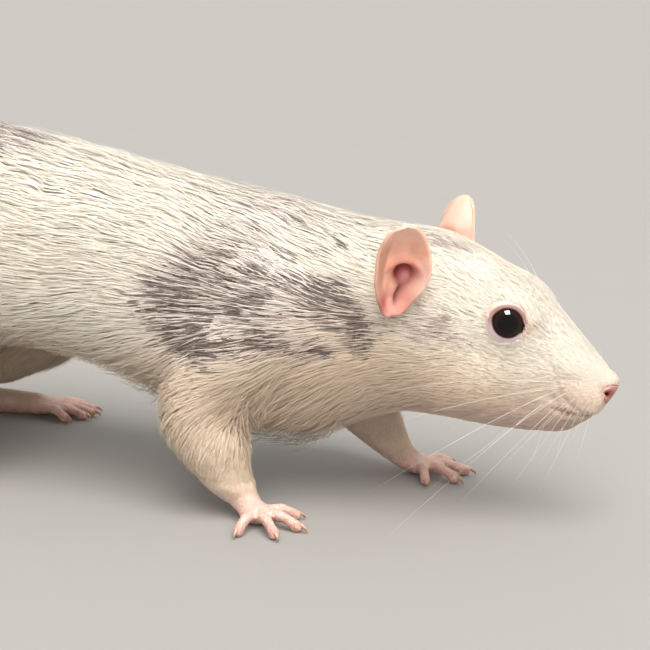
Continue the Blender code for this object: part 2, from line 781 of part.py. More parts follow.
def make_forepaw(word, side, route, collection):
    """A forepaw below the wrist, with its four digits."""
    heading = FOREPAW_HEADINGS[word]
    direction = math.radians(heading)
    along = Vector((math.cos(direction), math.sin(direction), 0.0))
    above, wrist = Vector(route[-3][0]), Vector(route[-2][0])
    ball = Vector((wrist.x, wrist.y, 0.0)) + along * FORE_REACH
    top = wrist + (above - wrist) * 0.4
    spine = (tuple(top), tuple(wrist), (*(ball - along * 1.5).xy, 2.3))
    radii = (WRIST_RADIUS * 0.98, WRIST_RADIUS * 0.94, 2.5)
    name = word + "_forepaw"
    return make_paw(
        name, spine, radii, ball, FORE_PALM, heading, side, FORE_DIGITS, collection
    )


def make_hind_foot(word, side, route, collection):
    """A hind foot below the ankle: heel, long sole and five digits."""
    heading = HIND_HEADING * side
    direction = math.radians(heading)
    along = Vector((math.cos(direction), math.sin(direction), 0.0))
    above, ankle = Vector(route[-3][0]), Vector(route[-2][0])
    heel = Vector((ankle.x - HEEL_SETBACK, ankle.y, 0.0))
    ball = heel + along * SOLE_LENGTH
    top = ankle + (above - ankle) * 0.35
    spine = [tuple(top), tuple(ankle)]
    radii = [ANKLE_RADIUS * 0.98, ANKLE_RADIUS * 0.92]
    for reach, height, radius in SOLE_LINE:
        spine.append((*(heel + along * reach).xy, height))
        radii.append(radius)
    name = word + "_hind_foot"
    return make_paw(name, spine, radii, ball, HIND_PAD, heading, side, HIND_DIGITS, collection)


def tail_line():
    """The tail's centre line and radii, from the rump down to the floor and along it."""
    points = [TAIL_START, TAIL_JOINT, *TAIL_ROUTE]
    line, _ = smooth_route(points, [1.0] * len(points), 3)
    run = 0.0
    places = []
    radii = []
    for i, place in enumerate(line):
        run += (place - line[i - 1]).length if i else 0.0
        share = min(run / (TAIL_LENGTH * MM), 1.0)
        radius = TAIL_TIP_RADIUS + (TAIL_ROOT_RADIUS - TAIL_TIP_RADIUS) * (1 - share) ** 1.2
        lowest = max(place.z, radius * TAIL_REST * MM)
        places.append(Vector((place.x, place.y, lowest)))
        radii.append(radius * MM)
    return places, radii


def make_tail(collection):
    """The tail in lengths, each a tapered tube that meets the next face to face."""
    places, radii = tail_line()
    last = len(places) - 1
    made = []
    start = 0
    for i, name in enumerate(TAIL_PARTS):
        stop = start + round((last - start) / (len(TAIL_PARTS) - i))
        line = places[start : stop + 1]
        widths = radii[start : stop + 1]
        if i:
            way = (places[start + 1] - places[start - 1]).normalized() * MM
            line[0:1] = [places[start] + way * GAP / 2, places[start] + way * GAP * 2]
            widths.insert(0, widths[0])
        if stop < last:
            way = (places[stop + 1] - places[stop - 1]).normalized() * MM
            line[-1:] = [places[stop] - way * GAP * 2, places[stop] - way * GAP / 2]
            widths.append(widths[-1])
        else:
            line, widths = rounded_ends(line, widths, head=False, rings=2)
        piece = tube(name, line, widths, 3, collection)
        made.append(trim_to_floor(piece, collection))
        start = stop
    return made


def part_legs(flesh, collection):
    """Takes the four furred legs out of the flesh, each with its own sleeve."""
    legs = {}
    for name, route in leg_routes().items():
        sleeve = HIND_LEG_SLEEVE if "hind" in name else FORELEG_SLEEVE
        wide = [(point, radius) for (point, _), radius in zip(route, sleeve)]
        inner = limb("inner", wide, collection)
        melt(inner, SLEEVE_VOXEL, SLEEVE_SMOOTH_STEPS, SLEEVE_TRIANGLES)
        outer = inflated(inner, GAP, collection)
        legs[name] = part_off(flesh, name, inner, outer, collection)
    return legs


def part_trunk(flesh, collection):
    """Takes head, neck, chest and belly off the flesh by planes, and leaves the rump."""
    nodes = {}
    for name, point, normal in TRUNK_CUTS:
        inner = half_space("inner", point, normal, collection, GAP / 2)
        outer = half_space("outer", point, normal, collection, -GAP / 2)
        nodes[name] = part_off(flesh, name, inner, outer, collection)
    flesh.name = "rump"
    nodes["rump"] = flesh
    return nodes


def dress_head(head, collection):
    """Adds lids, sockets and the mouth to the head, and parts nose and whisker pads from it."""
    combine(head, [eye_lids(side, collection) for side in (-1, 1)], "UNION")
    socket_radius = EYE_RADIUS + GAP
    sockets = [eye_ball("socket", side, socket_radius, collection) for side in (-1, 1)]
    combine(head, sockets + mouth_grooves(head, collection), "DIFFERENCE")
    nose = make_nose(head, collection)
    pads = [make_whisker_pad(head, side, collection) for side in (-1, 1)]
    return nose, pads


def finish(node, material):
    node.data.materials.clear()
    node.data.materials.append(material)
    node.data.shade_smooth()
    node.data.set_sharp_from_angle(angle=math.radians(50))


def centre_on_floor(nodes):
    """Moves every node so that the middle of the whole box is at X = Y = 0."""
    corners = [vert.co for node in nodes for vert in node.data.vertices]
    middle_x = (min(co.x for co in corners) + max(co.x for co in corners)) / 2
    middle_y = (min(co.y for co in corners) + max(co.y for co in corners)) / 2
    move = Matrix.Translation((-middle_x, -middle_y, 0.0))
    for node in nodes:
        node.data.transform(move)


def main():
    """Builds the rat node by node."""
    clear_scene()
    materials = make_materials()
    rat = bpy.data.collections.new("pet_rat")
    bpy.context.scene.collection.children.link(rat)
    finishes = {}
    flesh = make_flesh(rat)
    tail = make_tail(rat)
    way = (Vector(TAIL_JOINT) - Vector(TAIL_START)).normalized()
    cut_by_plane(tail[0], flesh, TAIL_JOINT, tuple(way), rat, TAIL_CUT_REACH)
    legs = part_legs(flesh, rat)
    trunk_nodes = part_trunk(flesh, rat)
    routes = leg_routes()
    feet = []
    for name, leg in legs.items():
        word, side = ("left", 1) if name.startswith("left") else ("right", -1)
        route = routes[name]
        make = make_hind_foot if "hind" in name else make_forepaw
        foot = make(word, side, route, rat)
        joint, up = route[-2][0], Vector(route[-3][0]) - Vector(route[-2][0])
        if "hind" in name:
            joint, up = (joint[0], joint[1], ANKLE_CUT_HEIGHT), Vector((0.0, 0.0, 1.0))
        cut_by_plane(leg, foot, joint, tuple(up.normalized()), rat)
        feet.append(foot)
    head = trunk_nodes["head"]
    nose, pads = dress_head(head, rat)
    ears = []
    eyes = []
    for word, side in (("right", -1), ("left", 1)):
        ears.append(make_ear(word + "_ear", side, head, rat))
        eyes.append(eye_ball(word + "_eye", side, EYE_RADIUS, rat))
    for node in [*trunk_nodes.values(), *legs.values(), *pads]:
        finishes[node] = "cream_coat"
    for name in ("chest", "belly"):
        finishes[trunk_nodes[name]] = "grey_coat"
    for node in [*feet, *ears, nose]:
        finishes[node] = "bare_skin"
    for node in tail:
        finishes[node] = "tail_skin"
    for node in eyes:
        finishes[node] = "eye_black"
    for node, name in finishes.items():
        finish(node, materials[name])
    centre_on_floor(list(finishes))


if __name__ == "__main__":
    main()
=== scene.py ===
"""The looks of a still, life-size pet rat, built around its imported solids.

The rat's own frame is in millimetres: X from rump to nose, Y to its left, Z up from the floor,
with X = 0 at the shoulders. Meshes are made in metres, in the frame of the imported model.
"""

import logging
import math
from collections.abc import Callable, Sequence
from dataclasses import dataclass
from enum import Enum
from functools import cache

import bmesh
import bpy
import numpy as np
from mathutils import Matrix, Vector
from mathutils.bvhtree import BVHTree
from mathutils.geometry import interpolate_bezier
from mathutils.kdtree import KDTree


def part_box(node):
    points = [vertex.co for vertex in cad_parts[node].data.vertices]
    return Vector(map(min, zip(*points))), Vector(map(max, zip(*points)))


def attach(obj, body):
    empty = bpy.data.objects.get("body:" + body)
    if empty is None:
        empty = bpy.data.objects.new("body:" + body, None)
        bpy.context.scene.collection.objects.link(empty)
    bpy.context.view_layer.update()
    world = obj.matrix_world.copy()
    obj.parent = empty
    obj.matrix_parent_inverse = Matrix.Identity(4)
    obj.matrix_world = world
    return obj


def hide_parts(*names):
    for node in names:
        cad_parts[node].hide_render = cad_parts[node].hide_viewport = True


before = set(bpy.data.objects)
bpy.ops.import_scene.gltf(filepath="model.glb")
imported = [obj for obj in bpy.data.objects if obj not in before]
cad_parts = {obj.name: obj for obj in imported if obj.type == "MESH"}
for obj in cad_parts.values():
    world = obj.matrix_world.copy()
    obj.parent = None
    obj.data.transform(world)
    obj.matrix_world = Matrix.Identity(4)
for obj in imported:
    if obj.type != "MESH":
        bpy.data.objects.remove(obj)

LOG = logging.getLogger("pet_rat")
MM = 0.001
ROOT = "root"
PIGMENT = "pigment"
COMBED = "combed"
FURRED = "furred"
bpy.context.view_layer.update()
WAIST = -45.0  # the place along X that parts forelegs from hind legs
FLOOR_GAP = 0.00002  # how high skin and tail stay over the floor, in metres

Point = tuple[float, float, float]
Pair = tuple[float, float]
Colour = tuple[float, float, float]
Array = np.ndarray
Piece = bpy.types.Object
Socket = bpy.types.NodeSocket
Node = bpy.types.Node
Material = bpy.types.Material
Feeds = dict[str | int, object]
Work = bmesh.types.BMesh
Rng = np.random.Generator


class Side(Enum):
    """The two sides of the body, with the sign of Y on each."""

    RIGHT = -1
    LEFT = 1

    @property
    def word(self) -> str:
        """The side's name as the nodes spell it."""
        return self.name.lower()

    def place(self, point: Point) -> Point:
        """Carries a point of the left side over to this side."""
        return (point[0], point[1] * self.value, point[2])


class Foot(Enum):
    """The two kinds of foot."""

    FORE = "forepaw"
    HIND = "hind_foot"


def ramp(low: float, high: float, values: Array) -> Array:
    """Rises smoothly from 0 at low to 1 at high, or falls where high is under low."""
    share = np.clip((values - low) / (high - low), 0.0, 1.0)
    return share * share * (3.0 - 2.0 * share)


def unit(vectors: Array) -> Array:
    """Gives each row of the array a length of one."""
    lengths = np.linalg.norm(vectors, axis=1, keepdims=True)
    return vectors / np.maximum(lengths, 1e-9)


def ripple(points: Array, size: float, seed: int) -> Array:
    """A soft random field between about -1 and 1.

    Args:
        points: Places in millimetres, one row each.
        size: The usual length of one swell, in millimetres.
        seed: The seed of the field.

    Returns:
        The field's height at each place.
    """
    rng = np.random.default_rng(seed)
    waves = unit(rng.normal(size=(8, 3))) * rng.uniform(0.6, 1.7, (8, 1)) * 2 * math.pi / size
    phases = rng.uniform(0, 2 * math.pi, 8)
    return np.sin(points @ waves.T + phases).sum(axis=1) / 2.6


def blend(first: Array | Colour, second: Array | Colour, share: Array) -> Array:
    """Mixes two colours, or two sets of rows, by a share for each row."""
    return np.asarray(first) + (np.asarray(second) - np.asarray(first)) * share[:, None]


def painted(colours: Array, layers: Sequence[tuple[Colour | Array, Array]]) -> Array:
    """Lays colours over a ground.

    Args:
        colours: The ground, one row for each vertex.
        layers: Each layer's colour and its share at each vertex, the lowest layer first.

    Returns:
        The ground with all layers on it.
    """
    for colour, share in layers:
        colours = blend(colours, colour, np.clip(share, 0.0, 1.0))
    return colours


def bell(*offsets: Array) -> Array:
    """One where all offsets are nought, falling smoothly to nothing beside it."""
    return np.exp(-sum(offset**2 for offset in offsets))


def mirrored(points: Array) -> Array:
    """Carries every point over to the left side."""
    found = points.copy()
    found[:, 1] = np.abs(found[:, 1])
    return found


def tree_of(points: Array) -> KDTree:
    """A tree that finds the nearest of these points."""
    tree = KDTree(len(points))
    for i, point in enumerate(points):
        tree.insert(point, i)
    tree.balance()
    return tree


def level_way(degrees: float) -> Vector:
    """A level direction, turned from X towards Y."""
    angle = math.radians(degrees)
    return Vector((math.cos(angle), math.sin(angle), 0.0))


def near(points: Array, centre: Point, radii: Point) -> Array:
    """How deep each point lies in a soft-edged ball of three radii."""
    offsets = (points - np.array(centre)) / np.array(radii)
    return np.exp(-((offsets**2).sum(axis=1) ** 1.6))


def spline(points: Sequence[Vector], widths: Sequence[float], steps: int) -> tuple[list, list]:
    """A smooth line through points, with a width at each step.

    Args:
        points: The places that the line passes.
        widths: The width at each place.
        steps: How many pieces lie between two places.

    Returns:
        The line's points and their widths.
    """
    ends = [2 * points[0] - points[1], *points, 2 * points[-1] - points[-2]]
    line, sizes = [], []
    for i in range(len(points) - 1):
        start, stop = ends[i + 1], ends[i + 2]
        handle_out = start + (stop - ends[i]) / 6
        handle_in = stop - (ends[i + 3] - start) / 6
        run = interpolate_bezier(start, handle_out, handle_in, stop, steps + 1)
        for j, place in enumerate(run if i == len(points) - 2 else run[:-1]):
            line.append(place)
            sizes.append(widths[i] + (widths[i + 1] - widths[i]) * j / steps)
    return line, sizes


@dataclass
class Anatomy:
    """Ties the rat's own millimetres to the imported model, by its eyes."""

    eye_ahead: float = 38.8  # how far the eyes lie in front of the shoulders

    def __post_init__(self) -> None:
        """Reads the middle between both eyes from the frame."""
        corners = [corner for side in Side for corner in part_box(side.word + "_eye")]
        middle = sum(corners, Vector()) / len(corners)
        self.origin = Vector((middle.x - self.eye_ahead * MM, middle.y, 0.0))

    def place(self, point: Sequence[float]) -> Vector:
        """A point of the rat's own frame in the model's metres."""
        return self.origin + Vector(point) * MM

    def own(self, metres: Array) -> Array:
        """Places of the model in the rat's own millimetres."""
        return (metres - np.array(self.origin)) / MM

    def metres(self, own: Array) -> Array:
        """Places of the rat's own frame in the model's metres."""
        return own * MM + np.array(self.origin)


class NodeSheet:
    """A material's node tree, with short calls for the nodes that the finishes use."""

    def __init__(self, name: str, roughness: float, **sockets: object) -> None:
        """Starts a material.

        Args:
            name: The material's name.
            roughness: The shader's roughness.
            **sockets: Other values of the shader's sockets, with _ for each space.
        """
        self.material = bpy.data.materials.new(name)
        self.material.use_nodes = True
        self.tree = self.material.node_tree
        self.shader = self.tree.nodes["Principled BSDF"]
        self.shader.inputs["Roughness"].default_value = roughness
        for socket, value in sockets.items():
            self.shader.inputs[socket.replace("_", " ")].default_value = value
        self.place = self.add("ShaderNodeTexCoord").outputs["Object"]

    def add(self, kind: str, feeds: Feeds | None = None, **values: object) -> Node:
        """Adds a node.

        Args:
            kind: The node's kind.
            feeds: For an input's name or place, the socket that feeds it or its value.
            **values: The node's properties.

        Returns:
            The node.
        """
        node = self.tree.nodes.new(kind)
        for key, value in values.items():
            setattr(node, key, value)
        for key, feed in (feeds or {}).items():
            if isinstance(feed, Socket):
                self.tree.links.new(feed, node.inputs[key])
            else:
                node.inputs[key].default_value = feed
        return node

    def attribute(self, name: str) -> Node:
        """A node that reads an attribute of the mesh."""
        return self.add("ShaderNodeAttribute", attribute_name=name)

    def noise(self, scale: float, detail: float = 3.0, stretch: Point = (1, 1, 1)) -> Socket:
        """A noise over the object's own coordinates.

        Args:
            scale: Swells per metre.
            detail: Octaves.
            stretch: How much the coordinates are scaled along each axis.

        Returns:
            The noise's height, as an output socket.
        """
        place = self.add("ShaderNodeMapping", {"Scale": stretch, "Vector": self.place}).outputs["Vector"]
        feeds = {"Scale": scale, "Detail": detail, "Vector": place}
        return self.add("ShaderNodeTexNoise", feeds).outputs["Fac"]

    def strands(self, scale: float) -> Socket:
        """A noise drawn out along the lie of the coat, from the mesh's combed places."""
        place = self.attribute(COMBED).outputs["Vector"]
        return self.add("ShaderNodeTexNoise", {"Scale": scale, "Detail": 3.0, "Vector": place}).outputs["Fac"]

    def cells(self, scale: float) -> Socket:
        """Small plates of skin, so many to the metre, low in the creases between them."""
        feeds = {"Scale": scale, "Vector": self.place}
        plates = self.add("ShaderNodeTexVoronoi", feeds, feature="DISTANCE_TO_EDGE")
        feeds = {"From Max": 0.25, "Value": plates.outputs["Distance"]}
        return self.add("ShaderNodeMapRange", feeds).outputs["Result"]

    def mixed(self, first: Socket, second: Socket, share: Socket) -> Socket:
        """Goes from the first number to the second by a share."""
        feeds = {0: share, 2: first, 3: second}
        return self.add("ShaderNodeMix", feeds, data_type="FLOAT").outputs[0]

    def ranged(self, source: Socket, low: float, high: float) -> Socket:
        """Maps a height from 0 to 1 onto low to high."""
        feeds = {"To Min": low, "To Max": high, "Value": source}
        return self.add("ShaderNodeMapRange", feeds).outputs["Result"]

    def around(self, source: Socket, middle: float, spread: float) -> Socket:
        """Maps a height from 0 to 1 onto as much above as below a middle."""
        return self.ranged(source, middle - spread, middle + spread)

    def paint(self, colour: Socket, factor: Socket) -> None:
        """Gives the shader its colour, made lighter and darker by a factor."""
        scaled = self.add("ShaderNodeVectorMath", {0: colour, "Scale": factor}, operation="SCALE")
        self.tree.links.new(scaled.outputs["Vector"], self.shader.inputs["Base Color"])

    def pigment(self, factor: Socket) -> None:
        """Gives the shader the mesh's own colours, made lighter and darker by a factor."""
        self.paint(self.attribute(PIGMENT).outputs["Color"], factor)

    def roughen(self, height: Socket) -> None:
        """Gives the shader a roughness that changes over the surface."""
        self.tree.links.new(height, self.shader.inputs["Roughness"])

    def bump(self, height: Socket, depth: float) -> None:
        """Raises the surface by swells that reach so many millimetres."""
        node = self.add("ShaderNodeBump", {"Strength": 1.0, "Distance": depth * MM, "Height": height})
        self.tree.links.new(node.outputs["Normal"], self.shader.inputs["Normal"])


@dataclass(frozen=True)
class Finish:
    """A finish that a piece of the rat may take."""

    name: str
    slot: str
    roughness: float = 0.55

    def make(self) -> Material:
        """Builds the material."""
        raise NotImplementedError


@dataclass(frozen=True)
class SkinFinish(Finish):
    """Living skin: pigment from the mesh, fine creases, and a little light let through."""

    mottle: float = 0.14  # how much the pigment varies
    crease: float = 0.12  # the depth of the creases, in millimetres
    crease_scale: float = 1500.0
    glow: float = 0.15  # how much light passes under the surface
    glow_depth: float = 0.5  # how deep that light goes, in millimetres

    def _sheet(self) -> NodeSheet:
        """Starts the material."""
        return NodeSheet(
            self.name,
            self.roughness,
            Subsurface_Weight=self.glow,
            Subsurface_Radius=(1.0, 0.35, 0.22),
            Subsurface_Scale=self.glow_depth * MM,
            Specular_IOR_Level=0.3,
        )

    def make(self) -> Material:
        """Builds the material."""
        sheet = self._sheet()
        sheet.pigment(sheet.around(sheet.noise(520.0, 4.0), 1.0, self.mottle))
        fine = sheet.noise(self.crease_scale, 4.0, (1.0, 1.0, 1.8))
        sheet.roughen(sheet.around(fine, self.roughness, 0.12))
        sheet.bump(fine, self.crease)
        return sheet.material


@dataclass(frozen=True)
class FurredSkinFinish(SkinFinish):
    """Skin under short flat fur: combed strands where hair grows, small plates where it is bare."""

    strand_depth: float = 0.22
    plate_depth: float = 0.10
    strand_scale: float = 2.6  # strands in a combed millimetre
    plate_scale: float = 1250.0

    def make(self) -> Material:
        """Builds the material."""
        sheet = self._sheet()
        furred = sheet.attribute(FURRED).outputs["Fac"]
        strands = sheet.strands(self.strand_scale)
        plates = sheet.cells(self.plate_scale)
        bare_tone = sheet.around(sheet.noise(520.0, 4.0), 1.0, self.mottle)
        sheet.pigment(sheet.mixed(bare_tone, sheet.ranged(strands, 0.86, 1.10), furred))
        bare_gloss = sheet.ranged(plates, 0.62, 0.46)
        sheet.roughen(sheet.mixed(bare_gloss, sheet.ranged(strands, 0.6, 0.75), furred))
        bare_height = sheet.ranged(plates, 0.0, self.plate_depth / self.strand_depth)
        sheet.bump(sheet.mixed(bare_height, strands, furred), self.strand_depth)
        return sheet.material


@dataclass(frozen=True)
class CoatFinish(Finish):
    """Hair: pigment from each tuft, lighter and darker streaks, soft gloss."""

    roughness: float = 0.62

    def make(self) -> Material:
        """Builds the material."""
        gloss = {"Specular_IOR_Level": 0.28, "Sheen_Weight": 0.12, "Sheen_Roughness": 0.5}
        sheet = NodeSheet(self.name, self.roughness, **gloss)
        sheet.pigment(sheet.around(sheet.noise(1500.0, 2.0), 1.0, 0.07))
        sheet.roughen(sheet.around(sheet.noise(900.0, 2.0), self.roughness, 0.1))
        return sheet.material


@dataclass(frozen=True)
class GlossFinish(Finish):
    """Smooth, glossy tissue: the eyes and the claws."""

    roughness: float = 0.08
    shine: float = 0.5  # how strongly it mirrors
    varnish: float = 1.0  # the weight of the clear coat
    glow: float = 0.0  # how much light passes under the surface
    mottle: float = 0.10  # how much the pigment varies

    def make(self) -> Material:
        """Builds the material."""
        sheet = NodeSheet(
            self.name,
            self.roughness,
            Specular_IOR_Level=self.shine,
            Coat_Weight=self.varnish,
            Coat_Roughness=0.03,
            Subsurface_Weight=self.glow,
            Subsurface_Radius=(1.0, 0.6, 0.4),
            Subsurface_Scale=0.5 * MM,
        )
        sheet.pigment(sheet.around(sheet.noise(700.0, 2.0), 1.0, self.mottle))
        sheet.roughen(sheet.ranged(sheet.noise(350.0, 1.0), self.roughness * 0.8, self.roughness * 1.3))
        return sheet.material


@dataclass(frozen=True)
class FloorFinish:
    """A plain pale matt floor."""

    name: str = "pale_floor"
    tone: Colour = (0.362, 0.360, 0.356)

    def make(self) -> Material:
        """Builds the material."""
        sheet = NodeSheet(self.name, 0.7, Specular_IOR_Level=0.2)
        colour = sheet.add("ShaderNodeRGB")
        colour.outputs[0].default_value = (*self.tone, 1.0)
        sheet.paint(colour.outputs[0], sheet.around(sheet.noise(30.0), 1.0, 0.015))
        return sheet.material


class MeshKit:
    """Makes objects from arrays of points and triangles."""

    @staticmethod
    def bridge(work: Work, low: list[bmesh.types.BMVert], high: list[bmesh.types.BMVert]) -> None:
        """Joins two rings of vertices with faces."""
        for j in range(len(low)):
            k = (j + 1) % len(low)
            work.faces.new((low[j], low[k], high[k], high[j]))

    @staticmethod
    def build(name: str, points: Array, triangles: Array) -> Piece:
        """Makes a smooth-shaded object.

        Args:
            name: The object's name.
            points: Its vertices in metres.
            triangles: Three vertex numbers for each face.

        Returns:
            The new object.
        """
        mesh = bpy.data.meshes.new(name)
        mesh.vertices.add(len(points))
        mesh.vertices.foreach_set("co", np.ascontiguousarray(points, np.float32).ravel())
        mesh.loops.add(triangles.size)
        mesh.loops.foreach_set("vertex_index", triangles.astype(np.int32).ravel())
        mesh.polygons.add(len(triangles))
        mesh.polygons.foreach_set("loop_start", np.arange(0, triangles.size, 3, dtype=np.int32))
        mesh.update(calc_edges=True)
        mesh.shade_smooth()
        return MeshKit.hang(name, mesh)

    @staticmethod
    def hang(name: str, data: bpy.types.ID) -> Piece:
        """Puts a mesh, a light or a camera into the scene."""
        made = bpy.data.objects.new(name, data)
        bpy.context.scene.collection.objects.link(made)
        return made

    @staticmethod
    def _vectors(rows: bpy.types.bpy_prop_collection, key: str) -> Array:
        """The vectors that a mesh's rows hold under a key."""
        values = np.empty(len(rows) * 3, np.float32)
        rows.foreach_get(key, values)
        return values.reshape(-1, 3).astype(float)

    @staticmethod
    def points_of(piece: Piece) -> Array:
        """The object's vertices in metres."""
        return MeshKit._vectors(piece.data.vertices, "co")

    @staticmethod
    def normals_of(piece: Piece) -> Array:
        """The object's vertex normals."""
        return MeshKit._vectors(piece.data.vertex_normals, "vector")

    @staticmethod
    def put_points(piece: Piece, points: Array) -> None:
        """Moves the object's vertices."""
        piece.data.vertices.foreach_set("co", np.ascontiguousarray(points, np.float32).ravel())
        piece.data.update()

    @staticmethod
    def colour(piece: Piece, colours: Array) -> None:
        """Stores a pigment for each vertex.

        Args:
            piece: The object.
            colours: One linear colour for each vertex.
        """
        layer = piece.data.attributes.new(PIGMENT, "FLOAT_COLOR", "POINT")
        rows = np.concatenate([np.clip(colours, 0.0, 1.0), np.ones((len(colours), 1))], axis=1)
        layer.data.foreach_set("color", rows.astype(np.float32).ravel())

    @staticmethod
    def store(piece: Piece, name: str, values: Array) -> None:
        """Stores a number or a vector for each vertex.

        Args:
            piece: The object.
            name: The attribute's name.
            values: One row for each vertex.
        """
        kind, field_name = ("FLOAT", "value") if values.ndim == 1 else ("FLOAT_VECTOR", "vector")
        layer = piece.data.attributes.new(name, kind, "POINT")
        layer.data.foreach_set(field_name, values.astype(np.float32).ravel())

    @staticmethod
    def read(piece: Piece, name: str) -> Array:
        """The vectors that the object's vertices store under a name."""
        return MeshKit._vectors(piece.data.attributes[name].data, "vector")

    @staticmethod
    def settle(piece: Piece) -> None:
        """Applies the object's modifiers."""
        graph = bpy.context.evaluated_depsgraph_get()
        mesh = bpy.data.meshes.new_from_object(piece.evaluated_get(graph))
        piece.modifiers.clear()
        old = piece.data
        piece.data = mesh
        bpy.data.meshes.remove(old)

    @staticmethod
    def face_out(piece: Piece) -> None:
        """Turns every face of a closed piece outwards."""
        work = bmesh.new()
        work.from_mesh(piece.data)
        bmesh.ops.recalc_face_normals(work, faces=work.faces)
        work.to_mesh(piece.data)
        work.free()

    @staticmethod
    def from_bmesh(name: str, work: Work) -> Piece:
        """Turns a bmesh into a smooth-shaded object and frees it."""
        bmesh.ops.recalc_face_normals(work, faces=work.faces)
        mesh = bpy.data.meshes.new(name)
        work.to_mesh(mesh)
        work.free()
        mesh.shade_smooth()
        return MeshKit.hang(name, mesh)


@dataclass
class Tube:
    """A closed round tube of changing width along a line, domed at both ends."""

    line: list[Vector]
    widths: list[float]  # the radius at each point in metres
    sides: int = 14
    flat: float = 1.0  # how high a ring is to its width
    rings: int = 3  # how many rings close each end

    def _domed(self) -> tuple[list[Vector], list[float]]:
        """The line and widths with the end domes added."""
        line, widths = list(self.line), list(self.widths)
        angles = [math.pi / 2 * (k + 1) / (self.rings + 0.3) for k in range(self.rings)]
        last, first = line[-1], line[0]
        ahead, behind = (line[-1] - line[-2]).normalized(), (line[0] - line[1]).normalized()
        for angle in angles:
            line.append(last + ahead * self.widths[-1] * math.sin(angle))
            widths.append(self.widths[-1] * math.cos(angle))
            line.insert(0, first + behind * self.widths[0] * math.sin(angle))
            widths.insert(0, self.widths[0] * math.cos(angle))
        return line, widths

    def add_to(self, work: Work) -> None:
        """Builds the tube in a bmesh.

        Args:
            work: The bmesh that takes it.
        """
        line, widths = self._domed()
        across = (line[1] - line[0]).orthogonal().normalized()
        if abs((line[1] - line[0]).normalized().z) < 0.9:
            across = (line[1] - line[0]).cross(Vector((0, 0, 1))).normalized()
        rings = []
        for i, (place, width) in enumerate(zip(line, widths)):
            way = (line[min(i + 1, len(line) - 1)] - line[max(i - 1, 0)]).normalized()
            across = (across - way * across.dot(way)).normalized()
            up = way.cross(across) * self.flat
            ring = []
            for j in range(self.sides):
                turn = 2 * math.pi * j / self.sides
                ring.append(work.verts.new(place + (across * math.cos(turn) + up * math.sin(turn)) * width))
            rings.append(ring)
        for low, high in zip(rings, rings[1:]):
            MeshKit.bridge(work, low, high)
        work.faces.new(rings[0])
        work.faces.new(rings[-1])


def add_ball(work: Work, centre: Vector, radii: Point, turn: Matrix) -> None:
    """Adds a stretched ball to a bmesh.

    Args:
        work: The bmesh that takes it.
        centre: The centre in metres.
        radii: The radii in millimetres.
        turn: A rotation as a 4 by 4 matrix.
    """
    made = bmesh.ops.create_uvsphere(work, u_segments=24, v_segments=16, radius=1.0)
    size = Matrix.Diagonal([radius * MM for radius in radii]).to_4x4()
    bmesh.ops.transform(work, matrix=Matrix.Translation(centre) @ turn @ size, verts=made["verts"])


@dataclass(frozen=True)
class Spot:
    """One patch of grey hair."""

    centre: Point
    radii: Point  # how far it reaches
    depth: float  # how grey it is
    sides: tuple[Side, ...] = (Side.RIGHT, Side.LEFT)  # the sides that carry it
    shift: float = 0.0  # how far forward it lies on the left side

    def grey(self, points: Array) -> Array:
        """How grey the patch makes each point."""
        x, y, z = self.centre
        found = np.zeros(len(points))
        for side in self.sides:
            ahead = self.shift if side is Side.LEFT else 0.0
            found = np.maximum(found, near(points, (x + ahead, -y * side.value, z), self.radii))
        return found * self.depth


